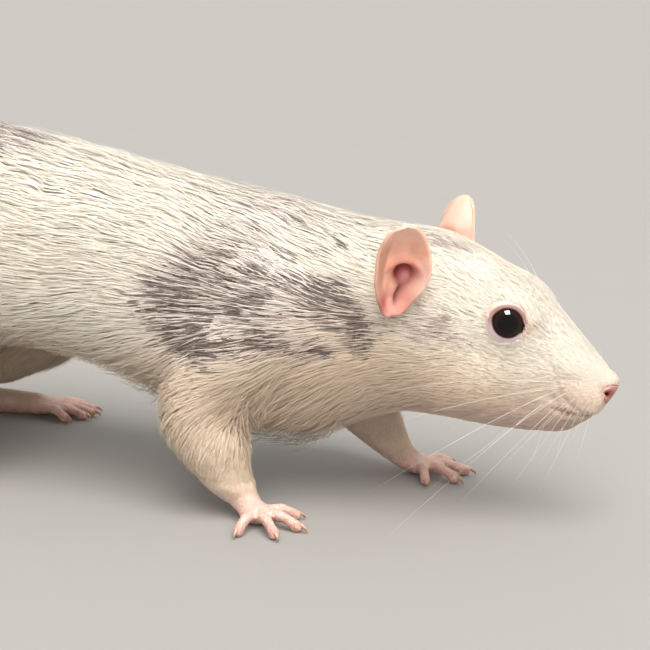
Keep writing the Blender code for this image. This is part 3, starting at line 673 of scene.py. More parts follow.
@dataclass
class Markings:
    """Where the coat is grey, pink, cream or bare, over the whole rat."""

    spots: tuple[Spot, ...] = (
        Spot((-13.0, -19.0, 43.0), (17.0, 13.0, 9.5), 0.46),
        Spot((-6.0, -8.0, 58.0), (23.0, 16.0, 9.0), 0.19, shift=-4.0),
        Spot((-23.0, -21.5, 42.0), (8.0, 9.0, 9.0), 0.40),
        Spot((-22.5, -22.5, 32.6), (7.0, 7.0, 2.6), 0.72, shift=5.0),
        Spot((-13.5, -22.5, 33.3), (5.5, 6.0, 2.0), 0.80, (Side.RIGHT,)),
        Spot((-6.0, -20.5, 35.0), (4.6, 6.0, 1.6), 0.76),
        Spot((2.5, -15.5, 45.5), (4.8, 7.0, 2.6), 0.55),
        Spot((7.2, -15.3, 41.4), (5.2, 7.0, 3.8), 0.92),
        Spot((11.5, -15.2, 37.4), (4.2, 7.0, 4.4), 0.84, shift=-3.0),
        Spot((3.5, -17.8, 32.9), (3.8, 6.0, 2.2), 0.60, (Side.RIGHT,)),
        Spot((24.5, -14.0, 38.6), (6.0, 4.0, 1.8), 0.50),
        Spot((31.0, -12.5, 36.0), (4.6, 4.0, 1.5), 0.36, (Side.RIGHT,)),
        Spot((26.0, -14.0, 43.0), (2.2, 4.0, 3.0), 0.30),
        Spot((26.0, -4.0, 54.0), (6.0, 2.0, 4.5), 0.46, (Side.RIGHT,)),
        Spot((-76.0, -4.0, 71.0), (17.0, 13.0, 9.0), 0.52, shift=-6.0),
        Spot((-98.0, -9.0, 66.0), (8.0, 9.0, 8.0), 0.36, (Side.LEFT,)),
    )
    cream: Colour = (0.93, 0.866, 0.755)  # hair tips of the pale coat
    cream_root: Colour = (0.90, 0.82, 0.70)  # hair roots of the pale coat, darker than the tips as painted shade deep in the coat
    warm: Colour = (0.885, 0.695, 0.530)  # the warmer, darker cream of belly and legs: partly the coat's own tone, partly painted shade
    grey_tip: Colour = (0.255, 0.203, 0.176)  # hair tips of the grey coat
    grey_root: Colour = (0.105, 0.081, 0.069)  # hair roots of the grey coat
    pale_skin: Colour = (0.86, 0.77, 0.68)  # skin under pale hair
    dark_skin: Colour = (0.13, 0.11, 0.10)  # skin under grey hair
    pink: Colour = (0.72, 0.43, 0.37)  # bare skin of the feet
    rose: Colour = (0.62, 0.30, 0.27)
    blush_and_shade_tip: Colour = (0.87, 0.66, 0.565)  # hair tips of the muzzle and jaw, pink where skin shows through and partly painted pinkish shade
    blush_and_shade_root: Colour = (0.80, 0.54, 0.46)  # hair roots there

    def grey(self, points: Array) -> Array:
        """How much of the hair is grey at each point, with ragged edges.

        Args:
            points: Places in the rat's own millimetres.

        Returns:
            Shares from 0 to 1.
        """
        ragged = points + np.stack([
            1.3 * ripple(points, 10.0, 3),
            1.0 * ripple(points, 9.0, 4),
            0.9 * ripple(points, 8.0, 5),
        ], axis=1)
        clear = np.ones(len(points))
        for spot in self.spots:
            clear *= 1.0 - np.clip(spot.grey(ragged), 0.0, 1.0)
        drawn_out = points * np.array((0.35, 1.0, 1.0))
        uneven = 1.0 + 0.06 * ripple(drawn_out, 4.2, 6) + 0.11 * ripple(drawn_out, 2.0, 7)
        uneven += 0.16 * ripple(drawn_out, 1.0, 8)
        return np.clip(1.12 * (1.0 - clear) * uneven - 0.07, 0.0, 1.0)

    def warmth_and_shade(self, points: Array) -> Array:
        """How much the pale coat turns to warmer, darker cream lower down on belly and legs: partly its own
        tone, partly painted shade.
        """
        top = np.interp(points[:, 0], (-60.0, -14.0, 10.0, 30.0, 48.0), (38.0, 39.0, 47.0, 42.0, 34.0))
        return 0.95 * ramp(0.0, 16.0, top - points[:, 2])

    def blush_and_shade(self, points: Array) -> Array:
        """How much pink skin shows through the short hair of muzzle and jaw, with painted pinkish shade under
        jaw and whisker pads.
        """
        own = mirrored(points)
        jaw = 0.90 * near(points, (34.0, 0.0, 18.0), (24.0, 15.0, 10.0))
        pad = 0.62 * near(own, (51.0, 5.5, 25.5), (5.6, 4.5, 5.0))
        corner = 0.85 * near(own, (43.3, 9.4, 39.2), (1.5, 2.6, 1.7))
        return np.maximum.reduce([jaw, pad, corner])

    def hair(self, points: Array, draw: Array, rng: Rng) -> tuple[Array, Array, Array]:
        """Root and tip colours for tufts.

        Args:
            points: Where the tufts are seen, in the rat's own millimetres.
            draw: A number from 0 to 1 for each tuft, which decides whether it is grey.
            rng: The random draw.

        Returns:
            Root colours, tip colours, and which tufts are pale.
        """
        count = len(points)
        share = self.grey(points)
        white = draw > 0.92 * share
        # Lower on the body the coat turns warmer and darker: partly its own tone, partly painted shade.
        warmth_and_shade = self.warmth_and_shade(points)
        tip = blend(self.cream, self.warm, warmth_and_shade)
        # The pale coat's roots are darker than its tips: painted shade deep in the coat.
        root = blend(self.cream_root, np.array(self.warm) * 0.86, warmth_and_shade)
        under = np.array((0.34, 0.30, 0.27)) * rng.uniform(0.7, 1.3, (count, 1))
        root = blend(root, under, ramp(0.06, 0.50, share))
        tip = tip * rng.uniform(0.93, 1.05, (count, 1))
        roan = ramp(0.02, 0.25, share)[:, None]
        tip = tip * (1.0 - roan * np.array((0.0, 0.055, -0.02)))
        # Pink skin through the short hair of muzzle and jaw, with painted pinkish shade under them.
        blush_and_shade = self.blush_and_shade(points)
        tip = blend(tip, self.blush_and_shade_tip, blush_and_shade)
        root = blend(root, self.blush_and_shade_root, blush_and_shade)
        pale_face = 1.0 + 1.3 * ramp(14.0, 26.0, points[:, 0])[:, None]
        dark_tip = np.array(self.grey_tip) * rng.uniform(0.5, 1.6, (count, 1)) * pale_face
        root[~white] = (np.array(self.grey_root) * pale_face**1.5)[~white]
        tip[~white] = dark_tip[~white]
        return root, tip, white


@dataclass
class Lie:
    """How the coat lies: its depth, length, lift, density and direction at any place."""

    nose: Point = (60.2, 0.0, 26.0)
    eye: Point = (38.8, 8.0, 39.7)
    depth_table: tuple[Pair, ...] = (  # coat depth along X in millimetres
        (-132.0, 1.2), (-118.0, 2.0), (-90.0, 2.5), (-40.0, 2.5), (-10.0, 2.2), (6.0, 1.9),
        (18.0, 1.3), (28.0, 0.8), (38.0, 0.45), (46.0, 0.32), (52.0, 0.22), (58.0, 0.10),
    )
    length_table: tuple[Pair, ...] = (  # hair length along X in millimetres
        (-132.0, 5.0), (-118.0, 8.5), (-90.0, 10.0), (-40.0, 9.5), (-10.0, 9.0), (6.0, 7.5),
        (18.0, 5.2), (28.0, 3.8), (38.0, 2.6), (46.0, 1.9), (52.0, 1.35), (58.0, 0.7),
    )

    def leg(self, points: Array) -> Array:
        """How much each point belongs to a leg."""
        wide = np.abs(points[:, 1])
        fore = ramp(25.0, 14.0, points[:, 2]) * ramp(6.0, 12.0, wide)
        hind = ramp(30.0, 17.0, points[:, 2]) * ramp(9.0, 16.0, wide)
        return np.where(points[:, 0] > WAIST, fore, hind)

    def fade(self, points: Array) -> Array:
        """How the coat shrinks down the legs to nothing at the feet."""
        return np.minimum(1.0, 0.08 + 0.92 * ramp(4.5, 24.0, points[:, 2]))

    def depth(self, points: Array) -> Array:
        """The coat's depth in millimetres."""
        places, depths = zip(*self.depth_table)
        return np.interp(points[:, 0], places, depths) * self.fade(points)

    def length(self, points: Array) -> Array:
        """The hairs' length in millimetres."""
        places, lengths = zip(*self.length_table)
        trunk = np.interp(points[:, 0], places, lengths)
        fore = np.interp(points[:, 2], (4.5, 8.0, 13.0, 20.0, 28.0), (0.9, 1.6, 2.9, 4.8, 8.0))
        hind = np.interp(points[:, 2], (6.0, 11.0, 17.0, 24.0, 30.0), (1.2, 2.4, 4.4, 7.0, 10.0))
        limb = np.minimum(trunk, np.where(points[:, 0] > WAIST, fore, hind))
        return trunk + (limb - trunk) * ramp(5.0, 10.0, np.abs(points[:, 1]))

    def from_eye(self, points: Array) -> Array:
        """Each point's distance from the middle of the eye on its own side."""
        return np.linalg.norm(mirrored(points) - np.array(self.eye), axis=1)

    def bare_nose(self, points: Array) -> Array:
        """How deep each point lies in the bare pad of the nose: one in its middle, nought at its edge."""
        wide = np.abs(points[:, 1])
        ahead = (points[:, 0] - 57.3) / 3.0
        high = (points[:, 2] - 25.5 - 0.28 * wide) / 2.2
        return 1.0 - ahead**2 - (wide / 4.1) ** 2 - high**2

    def bald(self, points: Array) -> Array:
        """One where no hair grows: eyes, nose and the digits."""
        eye = ramp(4.15, 3.9, self.from_eye(points))
        bare = np.maximum(eye, ramp(-0.25, 0.0, self.bare_nose(points)))
        return np.maximum(bare, ramp(5.4, 3.6, points[:, 2]))

    def clumping(self, points: Array) -> Array:
        """How strongly hairs draw together: most on the trunk, hardly on face and feet."""
        along = np.interp(points[:, 0], (0.0, 16.0, 34.0), (0.75, 0.50, 0.20))
        return along * (1.0 - 0.6 * self.leg(points))

    def fringe(self, points: Array, normals: Array) -> Array:
        """Where long loose hairs hang under the chest."""
        below = ramp(-0.1, -0.7, normals[:, 2]) * ramp(-40.0, -26.0, points[:, 0])
        return below * ramp(12.0, 2.0, points[:, 0]) * (1.0 - self.leg(points))

    def density(self, points: Array) -> Array:
        """Tufts in a square millimetre: most on the face, none on the digits."""
        places, tufts = (-132, -100, -30, 6, 20, 36, 50, 58), (4.2, 4.6, 5.6, 7.5, 12, 17, 26, 34)
        along = np.interp(points[:, 0], places, tufts)
        limb = self.leg(points)
        return (along * (1.0 - limb) + 12.0 * limb) * (1.0 - self.bald(points))

    def combed(self, points: Array) -> Array:
        """Places drawn together along the lie of the coat, for strands in the skin's relief."""
        trunk = points * np.array((0.13, 1.0, 1.0))
        away = points - np.array(self.nose)
        reach = np.linalg.norm(away, axis=1, keepdims=True)
        head = away / np.maximum(reach, 1.0) * 26.0 + reach * np.array((0.13, 0.0, 0.0))
        return blend(trunk, head, ramp(8.0, 20.0, points[:, 0]))

    def way(self, points: Array) -> Array:
        """The direction in which hairs lie.

        Args:
            points: Places in the rat's own millimetres.

        Returns:
            One direction a row, not yet laid into the surface.
        """
        x, y, z = points.T
        middle = np.interp(x, (-132, -92, -58, -20, 6, 25, 40), (41, 46, 44, 40, 38, 37, 33))
        down = ramp(2.0, -20.0, z - middle)
        up = ramp(-2.0, 14.0, z - middle)
        withers = ramp(-42.0, -22.0, x) * ramp(20.0, 6.0, x)
        trunk = np.stack([-np.ones_like(x), 0 * x, (0.08 + 0.36 * withers) * up - 0.62 * down], axis=1)
        away = unit(points - np.array(self.nose))
        head = ramp(16.0, 40.0, x)
        flow = blend(trunk, away, head)
        fore = np.stack([-0.45 + 0 * x, 0 * x, -1.0 + 0 * x], axis=1)
        hind = np.stack([-0.85 + 0 * x, 0 * x, -0.75 + 0 * x], axis=1)
        legs = np.where((x > WAIST)[:, None], fore, hind)
        flow = blend(flow, legs, self.leg(points))
        from_eye = mirrored(points) - np.array(self.eye)
        gap = np.linalg.norm(from_eye, axis=1)
        from_eye[:, 1] *= np.sign(y)
        flow += unit(from_eye) * (0.7 * bell((gap - 4.0) / 1.8))[:, None]
        return unit(flow)


@dataclass
class FootPlan:
    """One foot: where it stands, how it is turned, and its digits."""

    side: Side
    kind: Foot
    route: tuple[tuple[Point, float], ...]  # the leg's line from above the joint to the ball, with radii
    ball: Pair  # the middle of the ball on the floor
    heading: float  # the way the foot points, in degrees from X
    digits: tuple[Pair, ...]  # an angle and a length for each digit
    pad: Point  # the radii of the ball's pad
    digit_radius: float = 1.08
    # its first rings: reach, height and share of the radius
    digit_root: tuple[Point, ...] = ((-4.2, 2.5, 1.05), (-1.2, 2.35, 1.12))
    digit_joints: tuple[Point, ...] = (  # its other rings, with the reach as a share of its length
        (0.18, 2.55, 1.02), (0.34, 2.5, 1.08), (0.52, 2.15, 0.95), (0.70, 1.75, 0.96), (0.92, 1.12, 1.0),
    )
    tip_pad: Point = (1.12, 0.90, 0.72)  # the radii of the pad under its tip
    claw_length: float = 1.9
    claw_radius: float = 0.44

    @property
    def node(self) -> str:
        """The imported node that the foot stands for."""
        return f"{self.side.word}_{self.kind.value}"

    def digit_roots(self) -> list[tuple[Vector, Vector, float]]:
        """Each digit's root, direction and length, in the rat's own millimetres."""
        along = level_way(self.heading)
        outward = Vector((-along.y, along.x, 0.0)) * self.side.value
        found = []
        for i, (angle, length) in enumerate(self.digits):
            spread = i / (len(self.digits) - 1) - 0.5
            fan = math.radians(angle)
            reach = self.pad[0] * 0.72 * math.cos(fan * 0.9)
            root = Vector((*self.ball, 0.0)) + along * reach + outward * self.pad[1] * 1.5 * spread
            way = Matrix.Rotation(fan * self.side.value, 3, "Z") @ along
            found.append((root, way, length))
        return found

    def add_to(self, work: Work, anatomy: Anatomy) -> None:
        """Builds the foot's flesh, to be melted into the skin.

        Args:
            work: The bmesh that takes it.
            anatomy: The rat's own frame.
        """
        points = [anatomy.place(point) for point, _ in self.route]
        line, widths = spline(points, [radius * MM for _, radius in self.route], 4)
        Tube(line, widths, 20).add_to(work)
        turn = Matrix.Rotation(math.radians(self.heading), 4, "Z")
        centre = anatomy.place((*self.ball, self.pad[2] * 0.9))
        add_ball(work, centre, (self.pad[0] * 0.94, self.pad[1] * 0.86, self.pad[2] * 0.86), turn)
        for root, way, length in self.digit_roots():
            def at(reach: float, height: float) -> Vector:
                """A place along the digit, at a height over the floor."""
                return anatomy.place((*(root + way * reach).xy, height))
            profile = [(reach, height, share) for reach, height, share in self.digit_root]
            profile += [(length * run, height, share) for run, height, share in self.digit_joints]
            places = [at(reach, height) for reach, height, _ in profile]
            sizes = [self.digit_radius * share * MM for _, _, share in profile]
            line, widths = spline(places, sizes, 3)
            Tube(line, widths, 14).add_to(work)
            turn = Matrix.Rotation(math.atan2(way.y, way.x), 4, "Z")
            add_ball(work, at(length * 0.84, 0.62), self.tip_pad, turn)

    def claws(self, anatomy: Anatomy) -> Piece:
        """Builds the foot's claws as one piece of slender hooked cones."""
        work = bmesh.new()
        reach_table = ((0.0, 1.38, 1.0), (0.40, 1.42, 0.86), (0.78, 0.98, 0.56), (1.0, 0.34, 0.16))
        for root, way, length in self.digit_roots():
            base = length * 0.94
            places, sizes = [], []
            for share, height, width in reach_table:
                place = root + way * (base + self.claw_length * share)
                places.append(anatomy.place((place.x, place.y, height)))
                sizes.append(self.claw_radius * width * MM)
            line, widths = spline(places, sizes, 4)
            Tube(line, widths, 10, 1.15, 2).add_to(work)
        made = MeshKit.from_bmesh(f"{self.node}_claws", work)
        points = anatomy.own(MeshKit.points_of(made))
        tint = ramp(1.5, 0.5, points[:, 2])
        MeshKit.colour(made, blend((0.58, 0.36, 0.28), (0.30, 0.19, 0.13), tint))
        return made


@dataclass
class Part:
    """A sub-assembly, placed in the rat's own frame."""

    anatomy: Anatomy


@dataclass
class Skin(Part):
    """One skin over head, trunk, legs and feet, under the coat."""

    markings: Markings
    lie: Lie  # the coat, whose depth the skin lies under
    feet: list[FootPlan]
    voxel: float = 0.42  # how fine the melt is, in millimetres
    swell: float = 0.28  # how far each solid is swollen to close the gaps, in millimetres
    triangles: int = 190_000  # about how many faces the skin keeps
    flesh: tuple[str, ...] = (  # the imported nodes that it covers
        "head", "neck", "chest", "belly", "rump",
        "right_foreleg", "left_foreleg", "right_hind_leg", "left_hind_leg",
    )
    tip: str = "nose"  # the node that gives the tip of the nose its room
    # balls of the muzzle: centre, radii and tilt in degrees
    fillings: tuple[tuple[Point, Point, float], ...] = (
        ((50.4, 3.5, 26.2), (6.7, 4.4, 5.1), 20.0),
        ((47.8, 3.4, 27.8), (4.4, 4.75, 4.2), 0.0),
        ((50.0, 0.0, 26.6), (7.6, 5.2, 6.0), 20.0),
        ((55.5, 0.0, 27.9), (3.75, 3.2, 3.1), 0.0),
    )
    crease: tuple[Pair, ...] = (  # the line behind and under a whisker pad, as X and Z
        (47.8, 32.6), (48.2, 30.4), (48.9, 28.0), (49.9, 26.0), (51.6, 24.2), (53.6, 23.0), (55.0, 22.5),
    )
    mouth_axis: float = 47.5  # the place along X that the mouth's line turns round
    mouth_height: float = 21.5
    mouth_rise: float = 2.6  # how far its corners rise
    mouth_half_angle: float = 96.0  # how far it runs to each side, in degrees
    groove_depth: float = 0.46
    lip_height: float = 0.20
    cleft_depth: float = 0.55
    crease_depth: float = 0.26
    crease_width: float = 0.55  # and half of its width

    def _melt(self) -> Piece:
        """Joins the solids, feet and muzzle, and melts them into one closed skin."""
        work = bmesh.new()
        for name in (*self.flesh, self.tip):
            part = bmesh.new()
            part.from_mesh(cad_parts[name].data)
            bmesh.ops.remove_doubles(part, verts=part.verts, dist=0.002 * MM)
            bmesh.ops.recalc_face_normals(part, faces=part.faces)
            part.normal_update()
            moves = [vert.normal * self.swell * MM for vert in part.verts]
            for vert, move in zip(part.verts, moves):
                vert.co += move
            mesh = bpy.data.meshes.new(name + "_copy")
            part.to_mesh(mesh)
            part.free()
            work.from_mesh(mesh)
            bpy.data.meshes.remove(mesh)
        for centre, radii, pitch in self.fillings:
            turn = Matrix.Rotation(math.radians(pitch), 4, "Y")
            for side in Side if centre[1] else [Side.LEFT]:
                add_ball(work, self.anatomy.place(side.place(centre)), radii, turn)
        for foot in self.feet:
            foot.add_to(work, self.anatomy)
        skin = MeshKit.from_bmesh("skin", work)
        remesh = skin.modifiers.new("melt", "REMESH")
        remesh.mode = "VOXEL"
        remesh.voxel_size = self.voxel * MM
        MeshKit.settle(skin)
        return skin

    def _fineness(self, points: Array) -> Array:
        """One where the skin shows and keeps its detail, nought under thick coat."""
        x, _, z = points.T
        feet = ramp(11.0, 7.5, z) * (np.abs(points[:, 1]) > 5.0)
        face = ramp(43.0, 50.0, x)
        eye = ramp(7.5, 5.0, self.lie.from_eye(points))
        return np.maximum(np.maximum(feet, face), 0.8 * eye)

    def _smooth(self, skin: Piece) -> None:
        """Evens out the facets, gently where detail shows, and thins the rest."""
        points = self.anatomy.own(MeshKit.points_of(skin))
        fine = self._fineness(points)
        group = skin.vertex_groups.new(name="furred")
        for level in range(11):
            chosen = np.nonzero(np.round((1.0 - fine) * 10) == level)[0]
            if len(chosen) and level:
                group.add(chosen.tolist(), level / 10, "REPLACE")
        broad = skin.modifiers.new("broad", "SMOOTH")
        broad.factor = 0.6
        broad.iterations = 45
        broad.vertex_group = "furred"
        slight = skin.modifiers.new("slight", "SMOOTH")
        slight.factor = 0.5
        slight.iterations = 5
        thin = skin.modifiers.new("thin", "DECIMATE")
        thin.vertex_group = "furred"
        thin.vertex_group_factor = 4.0
        thin.ratio = min(1.0, self.triangles / (2.0 * len(skin.data.polygons)))
        skin.modifiers.new("triangles", "TRIANGULATE")
        MeshKit.settle(skin)
        skin.vertex_groups.clear()

    def mouth_gap(self, points: Array) -> tuple[Array, Array]:
        """How far each point lies above the mouth's line, and how strong the line is there.

        Args:
            points: Places in the rat's own millimetres.

        Returns:
            Heights over the line in millimetres, and shares from 0 to 1.
        """
        turn = np.degrees(np.arctan2(points[:, 1], points[:, 0] - self.mouth_axis))
        share = turn / self.mouth_half_angle
        height = self.mouth_height + self.mouth_rise * share**2
        return points[:, 2] - height, ramp(1.0, 0.80, np.abs(share))

    def pad_crease(self, points: Array) -> Array:
        """One along the crease behind and under each whisker pad, falling off beside it."""
        places = np.array(self.crease)
        found = np.full(len(points), 99.0)
        flat = points[:, [0, 2]]
        for start, stop in zip(places, places[1:]):
            way = stop - start
            share = np.clip(((flat - start) @ way) / (way @ way), 0.0, 1.0)
            found = np.minimum(found, np.linalg.norm(flat - start - share[:, None] * way, axis=1))
        ends = ramp(33.0, 31.0, points[:, 2]) * ramp(55.4, 54.2, points[:, 0])
        return bell(found / self.crease_width) * ends * ramp(2.0, 3.5, np.abs(points[:, 1]))

    def _cleft(self, points: Array, width: float) -> Array:
        """One along the groove between nose and mouth, falling off beside it."""
        found = bell(points[:, 1] / width) * ramp(54.5, 56.5, points[:, 0])
        return found * (ramp(21.0, 21.8, points[:, 2]) * ramp(25.6, 24.6, points[:, 2]))

    def _sculpt(self, skin: Piece) -> None:
        """Lets the skin in under the coat, and cuts mouth, lips, philtrum and creases."""
        metres = MeshKit.points_of(skin)
        normals = MeshKit.normals_of(skin)
        points = self.anatomy.own(metres)
        feet = ramp(8.0, 6.0, points[:, 2]) * (np.abs(points[:, 1]) > 5.0)
        inset = (self.lie.depth(points) + self.swell) * (1.0 - feet)
        inset *= 1.0 - 0.75 * ramp(8.0, 4.6, self.lie.from_eye(points))
        gap, line = self.mouth_gap(points)
        lips = (bell((gap - 1.1) / 0.7) + 0.8 * bell((gap + 1.0) / 0.7)) * line
        outward = -inset - self.groove_depth * (bell(gap / 0.42) * line) + self.lip_height * lips
        outward = outward - self.cleft_depth * self._cleft(points, 0.40)
        outward = outward - self.crease_depth * self.pad_crease(points)
        metres += normals * (outward * MM)[:, None]
        metres[:, 2] = np.maximum(metres[:, 2], FLOOR_GAP)
        MeshKit.put_points(skin, metres)

    def _pigments(self, points: Array) -> Array:
        """The skin's colour at each vertex."""
        marks = self.markings
        x, y, z = points.T
        grey = marks.grey(points)
        feet = ramp(7.0, 4.4, z) * (np.abs(y) > 5.0)
        foot_tone = 1.0 + 0.12 * ripple(points, 3.0, 21)
        nostrils = ramp(-1.1, -0.1, self.lie.bare_nose(points)) * ramp(29.2, 27.6, z)
        gap, line = self.mouth_gap(points)
        lips = bell(gap / 1.1) * line * ramp(44.0, 52.0, x)
        seam = bell(gap / 0.30) * line
        from_eye = self.lie.from_eye(points)
        corner = near(mirrored(points), (43.4, 9.4, 38.6), (1.7, 3.0, 1.7))
        return painted(blend(marks.pale_skin, marks.dark_skin, grey), (
            ((0.92, 0.86, 0.76), ramp(12.0, 34.0, x) * (1.0 - grey)),
            # warmer, darker skin lower down: partly its own tone, partly painted shade
            (marks.warm, marks.warmth_and_shade(points) * (1.0 - grey)),
            (np.array(marks.pink) * foot_tone[:, None], feet),
            ((0.82, 0.60, 0.53), 0.7 * (ramp(1.6, 3.2, z) * feet)),
            # pink skin of muzzle and jaw, partly painted pinkish shade
            (marks.blush_and_shade_root, marks.blush_and_shade(points)),
            ((0.70, 0.40, 0.35), 0.8 * nostrils),
            ((0.80, 0.52, 0.46), 0.7 * self.pad_crease(points)),
            (marks.rose, 0.6 * lips),
            ((0.50, 0.22, 0.19), 0.6 * np.maximum(seam, self._cleft(points, 0.28))),
            ((0.70, 0.40, 0.36), 0.7 * corner),
            # pinkish-brown ring round the eye: bare lid skin, partly painted shade
            ((0.70, 0.50, 0.46), 0.8 * ramp(4.8, 4.3, from_eye)),
            ((0.16, 0.075, 0.065), ramp(4.0, 3.7, from_eye)),
        ))

    def make(self, finish: SkinFinish) -> Piece:
        """Builds, dresses and registers the skin.

        Args:
            finish: The skin's material.

        Returns:
            The skin.
        """
        skin = self._melt()
        self._smooth(skin)
        self._sculpt(skin)
        points = self.anatomy.own(MeshKit.points_of(skin))
        MeshKit.colour(skin, self._pigments(points))
        MeshKit.store(skin, COMBED, self.lie.combed(points))
        MeshKit.store(skin, FURRED, 1.0 - self.lie.bald(points))
        skin.data.shade_smooth()
        nodes = [*self.flesh, *(foot.node for foot in self.feet)]
        nodes += ["right_whisker_pad", "left_whisker_pad"]
        register(skin, finish, nodes)
        return skin


@cache
def material_of(finish: Finish) -> Material:
    """Makes the material of a finish, once."""
    return finish.make()


def register(piece: Piece, finish: Finish, nodes: Sequence[str] = ()) -> None:
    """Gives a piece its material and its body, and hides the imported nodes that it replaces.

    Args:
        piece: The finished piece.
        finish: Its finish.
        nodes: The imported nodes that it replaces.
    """
    piece.data.materials.clear()
    piece.data.materials.append(material_of(finish))
    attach(piece, ROOT)
    if nodes:
        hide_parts(*nodes)
    piece.data.calc_loop_triangles()
    LOG.info("%s: %d triangles", piece.name, len(piece.data.loop_triangles))


class Ground:
    """The skin as the coat reads it: random places on it, and the nearest surface to a place."""

    def __init__(self, skin: Piece, anatomy: Anatomy) -> None:
        """Reads the skin's mesh.

        Args:
            skin: The finished skin.
            anatomy: The rat's own frame.
        """
        mesh = skin.data
        mesh.calc_loop_triangles()
        corners = np.empty(len(mesh.loop_triangles) * 3, np.int32)
        mesh.loop_triangles.foreach_get("vertices", corners)
        self.faces = corners.reshape(-1, 3)
        self.points = anatomy.own(MeshKit.points_of(skin))
        self.normals = MeshKit.normals_of(skin)
        a, b, c = (self.points[self.faces[:, k]] for k in range(3))
        self.areas = np.linalg.norm(np.cross(b - a, c - a), axis=1) / 2
        self.tree = tree_of(self.points)

    def scatter(
        self, count: int, density: Callable[[Array], Array], rng: Rng
    ) -> tuple[Array, Array]:
        """Random places on the skin.

        Args:
            count: The most places.
            density: Wanted places in a square millimetre, at given points.
            rng: The random draw.

        Returns:
            Places and normals.
        """
        middles = self.points[self.faces].mean(axis=1)
        wanted = self.areas * density(middles)
        LOG.info("the coat asks for %d tufts on %d square millimetres", wanted.sum(), self.areas.sum())
        count = min(count, int(wanted.sum()))
        chosen = rng.choice(len(self.faces), count, p=wanted / wanted.sum())
        first, second = rng.random(count), rng.random(count)
        over = first + second > 1.0
        first[over], second[over] = 1.0 - first[over], 1.0 - second[over]
        weights = np.stack([1.0 - first - second, first, second], axis=1)[:, :, None]
        places = (self.points[self.faces[chosen]] * weights).sum(axis=1)
        normals = unit((self.normals[self.faces[chosen]] * weights).sum(axis=1))
        return places, normals

    def drop(self, places: Array) -> tuple[Array, Array]:
        """Sets places down on the skin.

        Args:
            places: Places near the skin.

        Returns:
            The nearest places on it, by the plane at the nearest vertex, and normals.
        """
        find = self.tree.find
        index = np.fromiter((find(place)[1] for place in places), np.int64, len(places))
        normals = self.normals[index]
        heights = ((places - self.points[index]) * normals).sum(axis=1)
        return places - normals * heights[:, None], normals


